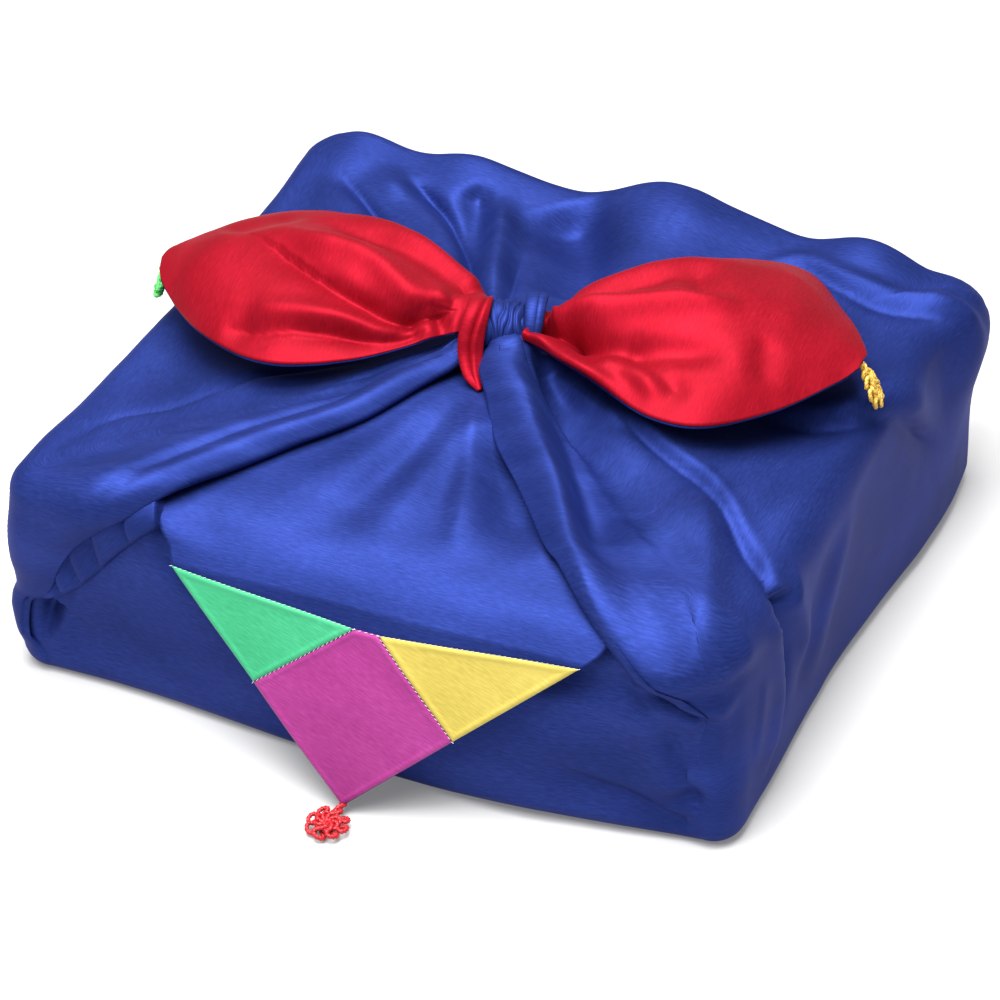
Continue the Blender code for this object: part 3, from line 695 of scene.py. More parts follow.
def roll_lift(distance, ups, rows, up_rows):
    """Lift over the bundle near a rolled border: a crest a little way in, falling off beyond."""
    columns = np.array([row[3:] for row in rows], dtype=float).T
    edge, crest, crest_in, reach = (smooth(up_rows, ups, column)[:, None] for column in columns)
    short = crest_in / np.sqrt(np.log(np.maximum(crest / edge, 1.02)))
    spread = np.where(distance < crest_in, short, reach)
    return crest * np.exp(-((distance - crest_in) / spread) ** 2)


def curl(grid, from_end, radius, last, tuck):
    """Rolls the first or last column of a grid under: round an arc of this angle, then straight on."""
    edge, first, second = (grid[:, i] for i in ((-1, -2, -3) if from_end else (0, 1, 2)))
    onward = unit(1.5 * (edge - first) - 0.5 * (first - second))
    along = unit(np.gradient(edge, axis=0))
    normal = unit(np.cross(onward, along) if from_end else np.cross(along, onward))
    along_up = unit(np.cross(normal, onward))
    square = np.cross(along_up, normal)
    onward = unit(square) * np.sign((square * onward).sum(axis=1))[:, None]
    columns = []
    for step in range(1, ROLL_STEPS + 1):
        bend = (last * step / ROLL_STEPS)[:, None]
        columns.append(edge + radius[:, None] * (onward * np.sin(bend) - normal * (1 - np.cos(bend))))
    end = columns[-1]
    heading = onward * np.cos(last)[:, None] - normal * np.sin(last)[:, None]
    for step in range(1, TUCK_STEPS + 1):
        columns.append(end + heading * (tuck * step / TUCK_STEPS)[:, None])
    extra = np.stack(columns, axis=1)
    return np.concatenate((grid, extra) if from_end else (extra[:, ::-1], grid), axis=1)


# ----------------------------------------------------------------------------------------------------
# Materials

def linear(hex_colour):
    """An sRGB hex colour as linear RGBA."""
    parts = [int(hex_colour[i:i + 2], 16) / 255 for i in (1, 3, 5)]
    return (*[part / 12.92 if part <= 0.04045 else ((part + 0.055) / 1.055) ** 2.4 for part in parts], 1.0)


def set_inputs(node, inputs):
    for key, value in inputs.items():
        node.inputs[key].default_value = value


def add_node(tree, kind, settings=None, inputs=None, links=None):
    """A node with its settings, its inputs' values and its incoming links."""
    made = tree.nodes.new(kind)
    for key, value in (settings or {}).items():
        setattr(made, key, value)
    set_inputs(made, inputs or {})
    for key, socket in (links or {}).items():
        tree.links.new(socket, made.inputs[key])
    return made


def new_finish(name):
    """A material, its node tree and its shader."""
    made = bpy.data.materials.new(name)
    made.use_nodes = True
    return made, made.node_tree, made.node_tree.nodes["Principled BSDF"]


def colour_by(tree, shader, source, stops):
    """Colours the shader by a pattern, through stops of place and hex colour."""
    made = add_node(tree, "ShaderNodeValToRGB", links={0: source})
    ramp = made.color_ramp
    while len(ramp.elements) < len(stops):
        ramp.elements.new(0.5)
    for element, (place, hex_colour) in zip(ramp.elements, stops):
        element.position = place
        element.color = linear(hex_colour)
    tree.links.new(made.outputs["Color"], shader.inputs["Base Color"])


# The weave's patterns, by repeats per metre along and across the weft. Slubs are thick stretches of weft,
# about 0.7 mm high and 15 to 40 mm long. Weft ribs are 0.15 mm apart on real silk and 0.8 mm here, so that
# they show at all. The hand of the cloth changes its shade slowly, over a few centimetres.
WeavePattern = namedtuple("WeavePattern", "name along across detail roughness")
WEAVE = rows_of(
    WeavePattern,
    ("slub", 40.0, 1400.0, 2.0, 0.6),
    ("rib", 200.0, 1250.0, 1.0, 0.5),
    ("slow", 9.0, 26.0, 2.0, 0.5),
)


def woven_silk(name, dark, middle, light, sheen, gloss):
    """Silk weave on the sheet's own UV map, in metres: slubs, weft ribs and slow changes of shade."""
    made, tree, shader = new_finish(name)
    weave = add_node(tree, "ShaderNodeUVMap", {"uv_map": "weave"}).outputs["UV"]
    pattern = {}
    for row in WEAVE:
        place = add_node(tree, "ShaderNodeMapping", inputs={"Scale": (row.along, row.across, 1.0)},
                         links={"Vector": weave})
        spread = {"Scale": 1.0, "Detail": row.detail, "Roughness": row.roughness}
        grain = add_node(tree, "ShaderNodeTexNoise", inputs=spread, links={"Vector": place.outputs["Vector"]})
        pattern[row.name] = grain.outputs["Fac"]
    fine = add_node(tree, "ShaderNodeMix", inputs={0: 0.6}, links={2: pattern["slub"], 3: pattern["rib"]})
    fine = fine.outputs[0]
    shade = add_node(tree, "ShaderNodeMix", inputs={0: 0.55}, links={2: pattern["slow"], 3: fine})
    colour_by(tree, shader, shade.outputs[0], ((0.36, dark), (0.50, middle), (0.64, light)))
    rough = add_node(tree, "ShaderNodeMapRange", inputs={"To Min": 0.46, "To Max": 0.60},
                     links={"Value": pattern["slub"]})
    tree.links.new(rough.outputs["Result"], shader.inputs["Roughness"])
    bump = add_node(tree, "ShaderNodeBump", inputs={"Strength": 0.16, "Distance": 0.0003},
                    links={"Height": fine})
    tree.links.new(bump.outputs["Normal"], shader.inputs["Normal"])
    set_inputs(shader, {"IOR": 1.5, "Metallic": gloss, "Specular Tint": linear(sheen), "Sheen Weight": 0.06,
                        "Sheen Roughness": 0.35, "Sheen Tint": linear(sheen)})
    return made


def twisted_cord(name, dark, middle, light):
    """Rayon cord: soft gloss and a fine lay of threads round it, about 1 mm apart."""
    made, tree, shader = new_finish(name)
    place = add_node(tree, "ShaderNodeTexCoord").outputs["Object"]
    lay = add_node(tree, "ShaderNodeTexNoise", inputs={"Scale": 900.0, "Detail": 2.0},
                   links={"Vector": place})
    colour_by(tree, shader, lay.outputs["Fac"], ((0.30, dark), (0.50, middle), (0.70, light)))
    bump = add_node(tree, "ShaderNodeBump", inputs={"Strength": 0.3, "Distance": 0.0002},
                    links={"Height": lay.outputs["Fac"]})
    tree.links.new(bump.outputs["Normal"], shader.inputs["Normal"])
    set_inputs(shader, {"Roughness": 0.48, "Sheen Weight": 0.15, "Sheen Tint": linear(light)})
    return made


def kraft_board():
    """Uncoated box board, dull, with fibres 2 to 3 mm long."""
    made, tree, shader = new_finish("kraft_box_board")
    place = add_node(tree, "ShaderNodeTexCoord").outputs["Object"]
    fibre = add_node(tree, "ShaderNodeTexNoise", inputs={"Scale": 420.0, "Detail": 4.0},
                     links={"Vector": place})
    colour_by(tree, shader, fibre.outputs["Fac"], ((0.3, "#A98B63"), (0.7, "#C9AE84")))
    set_inputs(shader, {"Roughness": 0.85})
    return made


# ----------------------------------------------------------------------------------------------------
# Sheets

def add_object(name, data):
    made = bpy.data.objects.new(name, data)
    bpy.context.scene.collection.objects.link(made)
    return made


def sheet_object(name, grid, finish, turn=0.0):
    """A sheet from a grid in millimetres; its UV map, in metres, runs along and up it, turned by an angle."""
    rows, columns = grid.shape[:2]
    index = np.arange(rows * columns).reshape(rows, columns)
    faces = np.stack((index[:-1, :-1], index[:-1, 1:], index[1:, 1:], index[1:, :-1]), axis=-1).reshape(-1, 4)
    mesh = bpy.data.meshes.new(name)
    mesh.from_pydata((grid.reshape(-1, 3) * MM).tolist(), [], faces.tolist())
    along = lengths(grid, 1) * MM
    along -= along.mean(axis=1, keepdims=True)
    up = lengths(grid, 0).mean(axis=1, keepdims=True) * MM + along * 0
    u = along * cos(turn) - up * sin(turn)
    v = along * sin(turn) + up * cos(turn)
    uv = np.stack((u, v), axis=-1).reshape(-1, 2)
    layer = mesh.uv_layers.new(name="weave")
    layer.data.foreach_set("uv", uv[faces.ravel()].ravel())
    mesh.shade_smooth()
    mesh.materials.append(finish)
    return add_object(name, mesh)


def thicken(item, thickness, side):
    """Gives a sheet its thickness, above it (1) or below it (-1)."""
    solid = item.modifiers.new("cloth thickness", "SOLIDIFY")
    solid.thickness = thickness * MM
    solid.offset = side
    solid.use_even_offset = False
    return item


def body_columns():
    """Shares of the way from the right roll to the left roll, closer together where the folds are finest."""
    even = np.linspace(0, 1, 596)
    weight = np.ones_like(even)
    for middle, closer, reach in ((0.12, 2.3, 0.09), (0.70, 1.1, 0.08), (0.95, 1.1, 0.07)):
        weight = weight + closer * np.exp(-((even - middle) / reach) ** 2)
    share = np.cumsum(weight)
    return (share - share[0]) / (share[-1] - share[0])


def into_knot(rows):
    """Carries the last row of a sheet up into the knot."""
    top = rows[-1]
    heart = KNOT_CENTRE + KNOT_ALONG * -7
    more = []
    for share, rise in ((0.10, 1.6), (0.24, 2.4), (0.45, 2.4), (0.75, 1.0)):
        more.append(top + (heart - top) * share + KNOT_UP * rise)
    return np.concatenate((rows, np.array(more)))


def over_surface(grid):
    """Keeps a grid just over what the bundle stands on."""
    grid[..., 2] = np.maximum(grid[..., 2], OVER_SURFACE)
    return grid


def make_body(finish):
    """The outer cloth from the right roll round the right, back and left walls to the left roll."""
    up_rows = stepped((0, UP_WALL, 10), (UP_WALL, UP_SHOULDER, 38), (UP_SHOULDER, UP_TOP, 16),
                      (UP_TOP, UP_NECK - 2, 84))
    rolls = (border(LEFT_ROLL), border(RIGHT_ROLL))
    left, right = (smooth(up_rows, ups, rounds) for ups, rounds, _ in rolls)
    right = right - GIRTH * np.round((right - left + GIRTH / 2 + 300) / GIRTH)
    place = between(right, left, body_columns())
    up_grid = np.broadcast_to(up_rows[:, None], place.shape)
    base = bundle(place, up_grid)
    normals = grid_normals(base)
    from_right = lengths(base, 1)
    from_left = from_right[:, -1:] - from_right
    near_neck = ease((up_grid - (UP_NECK - 36)) / 36)
    lift = wrap_lift(base, normals) * (1 - 0.6 * near_neck)
    for distance, (ups, _, rows) in zip((from_left, from_right), rolls):
        lift += roll_lift(distance, ups, rows, up_rows)
    lift *= ease(base[..., 2] / CREASED_FROM)
    grid = base + normals * lift[..., None]
    for from_end, (ups, _, rows) in zip((True, False), rolls):
        edge = smooth(up_rows, ups, [row.edge for row in rows])
        # Where the edge stands up it rolls right under; where it lies flat it only bends round the corner.
        rolled = ease((edge - 0.6) / 2)
        radius = np.clip((edge - ROLL_CLEAR) / 2, 0.4, None) * rolled + CORNER_RADIUS * (1 - rolled)
        last = 0.045 + rolled * (pi + 0.155)
        tuck = 8 + rolled * np.clip(edge * 1.2 - 8, -4, 4)
        grid = curl(grid, from_end, radius, last, tuck)
    return sheet_object("cloth_body", into_knot(over_surface(grid)), finish)


def make_front(finish):
    """The front wall below the flap, a hair inside the body cloth over it, and sunk under the flap."""
    up_rows = stepped((0, UP_WALL, 14), (UP_WALL, UP_TOP, 72))
    under_left_roll = 2 * SIDE_Y + SIDE_X + 2 * ARC - 14
    under_right_roll = GIRTH + 12
    place, up_grid = np.meshgrid(np.linspace(under_left_roll, under_right_roll, 250), up_rows)
    base = bundle(place, up_grid)
    normals = grid_normals(base)
    lift = wrap_lift(base, normals) * ease(base[..., 2] / CREASED_FROM) - 0.15
    under_flap = ease((up_grid - UP_SHOULDER + 26) / 26) * ease((128 - np.abs(base[..., 0] - 10)) / 10)
    lift -= 5.0 * under_flap
    return sheet_object("cloth_front", over_surface(base + normals * lift[..., None]), finish)


def make_tuck(finish):
    """The pleated layer between the left roll and the front wall."""
    lower, upper = (smooth_rows(locate(route), 16) for route in (TUCK_LOWER, TUCK_UPPER))
    along = np.linspace(0, 1, len(lower))
    up = np.linspace(0, 1, 26)
    place = lower[None] + (upper - lower)[None] * up[:, None, None]
    base = bundle(place[..., 0], place[..., 1])
    normals = grid_normals(base[:, ::-1])[:, ::-1]
    rounded = np.sqrt(np.clip(1 - (1 - up / 0.3).clip(0, 1) ** 2, 0, 1))[:, None]
    lift = 0.3 + TUCK_HEIGHT * rounded + 0 * along
    for pleat in TUCK_PLEATS:
        # Each pleat drops at once on one side and rises slowly on the other.
        from_pleat = (along[None] - pleat - 0.05 * (up[:, None] - 0.5)) * 110
        step = np.where(from_pleat > 0, np.exp(-from_pleat / 7), np.exp(from_pleat / 1.3))
        lift = lift - PLEAT_DEPTH * step * rounded
    ends = ease(along / 0.05) * ease((1 - along) / 0.18)
    grid = base + normals * (0.2 + (lift - 0.2) * ends)[..., None]
    return sheet_object("cloth_tuck", grid[:, ::-1], finish)


def make_underside(finish):
    """The cloth under the box, flat on the surface."""
    round_step = 6.0
    from_foot = 6.0
    rim = bundle(np.arange(0, GIRTH, round_step), from_foot)
    shares = np.linspace(1, 0, 40)
    grid = MIDDLE + (rim[None, :, :] - MIDDLE) * shares[:, None, None]
    grid = np.concatenate((grid, grid[:, :1]), axis=1)
    grid[..., 2] = 0.25
    return sheet_object("cloth_underside", grid[:, ::-1], finish)


def flap_face(across_it, down_it):
    """A point on the hanging corner, from lengths along its seam and down from it."""
    share = np.clip(down_it / TIP_DOWN, -0.3, 1)
    relief = 1.6 * np.sin(share * pi) * np.cos((across_it - 90) / 46)
    relief += 0.7 * np.sin(across_it / 17 + share * 3) * (1 - share)
    return (np.array(SEAM_LEFT) + np.multiply.outer(across_it, np.array(FLAP_ACROSS))
            + np.multiply.outer(down_it, np.array(FLAP_DOWN)) + relief[..., None] * np.array(FLAP_OUTWARD))


def arc_between(rows, first, last, end_direction):
    """Rounds these rows into one arc, which leaves as the row above runs and ends in this direction."""
    start = rows[first]
    end = rows[last]
    reach = np.linalg.norm(end - start, axis=-1, keepdims=True)
    leaving = unit(rows[first] - rows[first - 2]) * reach
    arriving = np.array(end_direction) * reach
    t = np.linspace(0, 1, last - first + 1)[:, None, None]
    arc = (start * (1 + 2 * t) * (1 - t) ** 2 + leaving * t * (1 - t) ** 2
           + end * t ** 2 * (3 - 2 * t) + arriving * t ** 2 * (t - 1))
    rows[first:last + 1, :, 1:] = arc[..., 1:]


def make_flap(finish):
    """The back corner of the cloth, brought over the top to hang down the front."""
    up_rows = np.linspace(UP_NECK - 6, UP_SEAM, 120)[:-1]
    shares = np.linspace(0, 1, 130)
    left, right = (smooth(up_rows, *border(route)[:2]) for route in (FLAP_LEFT_EDGE, FLAP_RIGHT_EDGE))
    place = between(left, right, shares)
    base = bundle(place, np.broadcast_to(up_rows[:, None], place.shape))
    normals = grid_normals(base[::-1])[::-1]
    lift = FLAP_LIFT + press(base, normals, FLAP_CREASES)
    lift += 0.8 * unevenness(base, 40.0, 3) + 0.2 * unevenness(base, 15.0, 4)
    # The left edge stands up a little near the box's edge, and the whole flap sinks into the knot.
    lift += 3.0 * np.exp(-(lengths(base, 1) / 18) ** 2) * np.exp(-((up_rows - 142) / 20) ** 2)[:, None]
    lift -= 8.0 * np.exp(-((UP_NECK - up_rows) / 20) ** 2)[:, None]
    # Near the seam the flap leaves the bundle for the plane of its hanging corner.
    above = UP_SEAM - up_rows
    across_it = between(above * LEFT_SPREAD, SEAM - above * RIGHT_SPREAD, shares)
    above = np.broadcast_to(above[:, None], place.shape)
    hang = ease((above + PLANE_ABOVE) / PLANE_ABOVE)[..., None]
    draped = base * (1 - hang) + flap_face(across_it, above) * hang
    arc_between(draped, int(np.argmin(np.abs(up_rows - FLAP_ARC_FROM))), len(up_rows) - 1, FLAP_ARRIVES)
    upper = draped + normals * (lift * (1 - hang[..., 0] ** 3))[..., None]
    down_rows = np.linspace(0, TIP_DOWN - 1.0, 84)
    share_down = down_rows / TIP_DOWN
    across_it = between(share_down * TIP_ACROSS, SEAM + (TIP_ACROSS - SEAM) * share_down, shares)
    lower = flap_face(across_it, np.broadcast_to(down_rows[:, None], across_it.shape))
    grid = np.concatenate((upper, lower))[::-1]
    return thicken(sheet_object("cloth_flap", grid, finish), FLAP_THICKNESS, -1)


def patch_sheet(name, corners, finish):
    """A patch on the hanging corner: rows across a polygon given by lengths along and down the corner."""
    sides = list(zip(corners, corners[1:] + corners[:1]))
    stops = sorted({round(float(corner[1]), 4) for corner in corners})
    downs = stepped(*[(a, b, max(3, int((b - a) / PATCH_STEP))) for a, b in zip(stops, stops[1:])])
    downs[0] += 0.01
    downs[-1] -= 0.01
    rows = []
    for down_it in downs:
        crossings = []
        for start, end in sides:
            low, high = sorted((start[1], end[1]))
            if low <= down_it <= high and high - low > 1e-6:
                crossings.append(start[0] + (end[0] - start[0]) * (down_it - start[1]) / (end[1] - start[1]))
        rows.append(np.linspace(min(crossings), max(crossings), 90))
    across_it = np.array(rows)
    down_grid = np.broadcast_to(downs[:, None], across_it.shape)
    inward = np.full(across_it.shape, 99.0)
    for start, end in sides:
        run = (end - start) / np.linalg.norm(end - start)
        inward = np.minimum(inward, np.abs((across_it - start[0]) * run[1] - (down_grid - start[1]) * run[0]))
    # A turned-in edge: the patch is padded beside its seam and drawn down on it.
    seam = 0.45 * np.exp(-((inward - 1.6) / 1.1) ** 2) - 0.35 * np.exp(-(inward / 0.6) ** 2)
    grid = flap_face(across_it, down_grid)[::-1]
    lifted = grid + grid_normals(grid) * (0.45 + seam[::-1])[..., None]
    return thicken(sheet_object(name, lifted, finish, PATCH_TURN), PATCH_THICKNESS, 1)


def tail_grid(table, left):
    """A tail's surface: an arch from back edge over crown to front edge in each section, joined smoothly."""
    sections = []
    t = np.linspace(0, 1, 90)[:, None]
    for section in table:
        back, crown, front = (np.array((section.x, *section[i:i + 2]), dtype=float) for i in (1, 3, 5))
        control = crown * 2 - (back + front) / 2
        row = back * (1 - t) ** 2 + control * 2 * t * (1 - t) + front * t ** 2
        sections.append(row[::-1] if left else row)
    return smooth_rows(sections, 14)


def make_tail(side, table, creases, outer, lining):
    """A tied tail: its lining above, and its outer cloth below, whose hem shows as a thin edge."""
    left = side == "left"
    base = tail_grid(table, left)
    normals = grid_normals(base)
    lift = TAIL_DEEPER * press(base, normals, creases, laid=False)
    lift += 0.8 * unevenness(base, 30.0, 5 if left else 6) + 0.3 * unevenness(base, 12.0, 7)
    top = base + normals * (lift + LINING_LIFT)[..., None]
    red = sheet_object(f"lining_tail_{side}", top, lining)
    under = base + normals * lift[..., None]
    to_end = unit(under[:, -1] - under[:, -3])
    to_start = unit(under[:, 0] - under[:, 2])
    under[:, -1] += to_end * EDGE_SHOWS
    under[:, 0] += to_start * EDGE_SHOWS
    blue = sheet_object(f"cloth_tail_{side}", under, outer)
    return thicken(red, SILK_THICKNESS, -1), thicken(blue, SILK_THICKNESS, -1)


# ----------------------------------------------------------------------------------------------------
# The knot

def knot_place(along, front, up):
    """A point from its places along, in front of and above the knot's middle."""
    along, front, up = np.broadcast_arrays(along, front, up)
    return (KNOT_CENTRE + along[..., None] * KNOT_ALONG + front[..., None] * KNOT_FRONT
            + up[..., None] * KNOT_UP)


def make_knot(finish):
    """The gathered cloth wound round the knot: slanting ribs on a barrel whose ends turn in."""
    start, end = KNOT_SPAN
    share = np.linspace(0, 1, 70)[:, None]
    angle = np.linspace(0, 2 * pi, 121)[None, :]
    along = start + (end - start) * share
    ends = np.sqrt(np.clip(1 - (2 * share - 1) ** 6, 0.02, 1))
    barrel = (1 - 0.14 * (2 * share - 1) ** 2) * ends
    wander = 1.3 * np.sin(angle * 2 + along * 0.35) + 0.8 * np.sin(angle * 3 - along * 0.6)
    phase = (along + 3.2 * np.sin(angle + 0.4) + wander) / RIB * pi
    rib = 1.5 * (np.abs(np.cos(phase)) ** 0.6 - 0.6) * ends
    front = (KNOT_DEPTH * barrel + rib) * np.sin(angle)
    up = (KNOT_HEIGHT * barrel + rib) * np.cos(angle)
    grid = knot_place(along + 0 * angle, front, up)
    return sheet_object("knot_wound_cloth", grid[:, ::-1], finish)


def make_band(name, rows, finish, crease_from, crease_to, depth):
    """A narrow folded band over the knot, with a crease that wanders along it."""
    path = smooth_rows(rows, 12)
    centre = knot_place(path[:, 0], path[:, 1], path[:, 2])
    onward = unit(np.gradient(centre, axis=0))
    across = unit(KNOT_ALONG - onward * (onward @ KNOT_ALONG)[:, None])
    outward = unit(np.cross(across, onward))
    outward *= np.sign((outward * (centre - KNOT_CENTRE)).sum(axis=1))[:, None]
    side = np.linspace(-1, 1, 41)[None, :]
    share = np.linspace(0, 1, len(path))[:, None]
    half = path[:, 3][:, None]
    middle = crease_from + (crease_to - crease_from) * ease(share * 1.5)
    height = 0.34 * half * (1 - side ** 2) ** 0.6
    height -= depth * np.exp(-np.abs(side - middle) * half / 1.1) * ease(share * 4) * ease((1 - share) * 4)
    height += 0.35 * depth * np.exp(-((side - middle - 0.30) * half / 1.6) ** 2)
    grid = centre[:, None] + across[:, None] * (side * half)[..., None] + outward[:, None] * height[..., None]
    return thicken(sheet_object(name, grid, finish), SILK_THICKNESS, -1)


# ----------------------------------------------------------------------------------------------------
# Cord knots and stitches

def new_group(name, values):
    """A node group on a line, with named inputs."""
    tree = bpy.data.node_groups.new(name, "GeometryNodeTree")
    tree.interface.new_socket("Line", in_out="INPUT", socket_type="NodeSocketGeometry")
    for label, value in values:
        kind = "NodeSocketVector" if hasattr(value, "__len__") else "NodeSocketFloat"
        tree.interface.new_socket(label, in_out="INPUT", socket_type=kind).default_value = value
    tree.interface.new_socket("Made", in_out="OUTPUT", socket_type="NodeSocketGeometry")
    enter = add_node(tree, "NodeGroupInput")
    curve = add_node(tree, "GeometryNodeMeshToCurve", links={0: enter.outputs["Line"]})
    return tree, enter.outputs, curve.outputs[0]


def close_group(tree, geometry, finish):
    """Ends a node group in Realize Instances and Set Material."""
    whole = add_node(tree, "GeometryNodeRealizeInstances", links={0: geometry})
    painted = add_node(tree, "GeometryNodeSetMaterial", inputs={"Material": finish},
                       links={"Geometry": whole.outputs[0]})
    add_node(tree, "NodeGroupOutput", links={0: painted.outputs[0]})
    return tree


def cord_nodes(finish):
    """A three-strand cord along a line: a lobed section that turns as it goes."""
    values = (("Thickness", 0.002), ("Turns per metre", 190.0), ("Strand depth", 0.16))
    tree, enter, curve = new_group("three_strand_cord", values)
    place = add_node(tree, "GeometryNodeSplineParameter").outputs
    times = {"operation": "MULTIPLY"}
    turns = add_node(tree, "ShaderNodeMath", times, links={0: place["Length"], 1: enter["Turns per metre"]})
    tilt = add_node(tree, "ShaderNodeMath", times, {1: 2 * pi}, {0: turns.outputs[0]})
    turned = add_node(tree, "GeometryNodeSetCurveTilt", links={"Curve": curve, "Tilt": tilt.outputs[0]})
    radius = add_node(tree, "ShaderNodeMath", times, {1: 0.5}, {0: enter["Thickness"]})
    ring = add_node(tree, "GeometryNodeCurvePrimitiveCircle", inputs={"Resolution": 12},
                    links={"Radius": radius.outputs[0]})
    strands = add_node(tree, "ShaderNodeMath", times, {1: 3 * 2 * pi}, {0: place["Factor"]})
    lobe = add_node(tree, "ShaderNodeMath", {"operation": "COSINE"}, links={0: strands.outputs[0]})
    deep = add_node(tree, "ShaderNodeMath", times, links={0: lobe.outputs[0], 1: enter["Strand depth"]})
    point = add_node(tree, "GeometryNodeInputPosition").outputs[0]
    out = add_node(tree, "ShaderNodeVectorMath", {"operation": "SCALE"},
                   links={0: point, "Scale": deep.outputs[0]})
    section = add_node(tree, "GeometryNodeSetPosition",
                       links={"Geometry": ring.outputs[0], "Offset": out.outputs[0]})
    cord = add_node(tree, "GeometryNodeCurveToMesh", inputs={"Fill Caps": True},
                    links={"Curve": turned.outputs[0], "Profile Curve": section.outputs[0]})
    rounded = add_node(tree, "GeometryNodeSetShadeSmooth", links={0: cord.outputs[0]})
    return close_group(tree, rounded.outputs[0], finish)


def stitch_nodes(finish):
    """Slanting hand stitches at even steps along a line."""
    values = (("Step", 0.0026), ("Stitch length", 0.0014), ("Thread", 0.0001), ("Slant", 0.35),
              ("Facing", (0.0, -1.0, 0.0)))
    tree, enter, curve = new_group("slip_stitches", values)
    spots = add_node(tree, "GeometryNodeCurveToPoints", {"mode": "LENGTH"},
                     links={"Curve": curve, "Length": enter["Step"]}).outputs
    thread = add_node(tree, "GeometryNodeMeshCylinder", inputs={"Vertices": 6, "Side Segments": 2},
                      links={"Radius": enter["Thread"], "Depth": enter["Stitch length"]})
    along = add_node(tree, "FunctionNodeAlignRotationToVector", {"axis": "Z"},
                     links={"Vector": spots["Tangent"]})
    uneven = add_node(tree, "FunctionNodeRandomValue", inputs={2: -0.12, 3: 0.12, "Seed": 7})
    slant = add_node(tree, "ShaderNodeMath", {"operation": "ADD"},
                     links={0: enter["Slant"], 1: uneven.outputs[1]})
    lean = add_node(tree, "FunctionNodeAxisAngleToRotation",
                    links={"Axis": enter["Facing"], "Angle": slant.outputs[0]})
    facing = add_node(tree, "FunctionNodeRotateRotation", {"rotation_space": "GLOBAL"},
                      links={0: along.outputs[0], 1: lean.outputs[0]})
    placed = add_node(tree, "GeometryNodeInstanceOnPoints",
                      links={"Points": spots["Points"], "Instance": thread.outputs["Mesh"],
                             "Rotation": facing.outputs[0]})
    return close_group(tree, placed.outputs[0], finish)


def along_line(name, points, closed, tree, values):
    """Runs a node group along a line of points, in millimetres, and keeps the result as a plain mesh."""
    line = bpy.data.meshes.new(name + "_line")
    count = len(points)
    edges = [(i, (i + 1) % count) for i in range(count if closed else count - 1)]
    line.from_pydata((np.asarray(points) * MM).tolist(), edges, [])
    holder = add_object(name + "_line", line)
    modifier = holder.modifiers.new("nodes", "NODES")
    modifier.node_group = tree
    for item in tree.interface.items_tree:
        if item.item_type == "SOCKET" and item.in_out == "INPUT" and item.name in values:
            modifier[item.identifier] = values[item.name]
    depsgraph = bpy.context.evaluated_depsgraph_get()
    mesh = bpy.data.meshes.new_from_object(holder.evaluated_get(depsgraph))
    bpy.data.objects.remove(holder)
    return mesh


def join(name, meshes):
    """Several plain meshes of one finish as one piece."""
    whole = bmesh.new()
    for part in meshes:
        whole.from_mesh(part)
    mesh = bpy.data.meshes.new(name)
    whole.to_mesh(mesh)
    whole.free()
    mesh.materials.append(meshes[0].materials[0])
    for part in meshes:
        bpy.data.meshes.remove(part)
    return add_object(name, mesh)


def make_cord_knot(knot, finish):
    """A flat rosette knot: one cord winds in and out, with a loop at each outer turn, on a doubled neck."""
    corner = np.array(knot.corner, dtype=float)
    away = unit(np.array(knot.away, dtype=float))
    face = np.array(knot.face, dtype=float)
    face = unit(face - away * (face @ away))
    across = np.cross(face, away)
    centre = corner + away * (knot.neck + LOOP_MIDDLE + LOOP_SWING)

    def wound(distance, bearing, lift):
        return (centre + away * (distance * np.cos(bearing))[:, None]
                + across * (distance * np.sin(bearing))[:, None] + face * lift[:, None])

    turn = np.linspace(0, 2 * pi * WINDINGS, 900, endpoint=False)
    swing = LOOPS * turn / WINDINGS
    loops = wound(LOOP_MIDDLE + LOOP_SWING * np.cos(swing), turn - LOOP_PINCH * np.sin(swing) + pi,
                  1.35 * np.sin(swing) + 0.5 * np.sin(turn * 2))
    core = wound(CORE_MIDDLE + CORE_SWING * np.cos(swing + 0.6), turn, 0.9 * np.sin(swing + 1.2) + 0.9)
    tree = cord_nodes(finish)
    values = {"Thickness": knot.thickness * MM}
    parts = [along_line("rosette", loops, True, tree, values), along_line("core", core, True, tree, values)]
    length = knot.neck + 5.0
    beside = knot.thickness * 0.52
    share = np.linspace(0, 1, 60)
    for start in (0, pi):
        wind = share * 2 * pi * 0.75 + start
        neck = (corner + away * (share * length - 1.0)[:, None] + across * (np.cos(wind) * beside)[:, None]
                + face * (np.sin(wind) * beside)[:, None])
        parts.append(along_line("neck", neck, False, tree, values))
    return join(f"cord_rosette_{knot.name}", parts)


def make_stitches(finish, seams):
    """Small slip stitches along the patchwork's seams."""
    tree = stitch_nodes(finish)
    share = np.linspace(0, 1, 40)[:, None]
    parts = []
    for index, (start, end) in enumerate(seams):
        place = start + (end - start) * share
        line = flap_face(place[:, 0], place[:, 1]) + np.array(FLAP_OUTWARD) * 0.95
        parts.append(along_line(f"seam_{index}", line, False, tree, {"Facing": tuple(FLAP_OUTWARD)}))
    return join("patchwork_stitches", parts)


# ----------------------------------------------------------------------------------------------------
# Scene

CAMERA_AZIMUTH = 22.4
CAMERA_ELEVATION = 34.0
CAMERA_AIM = Vector((0.0034, -0.0314, 0.058))
CAMERA_AWAY = 1.8


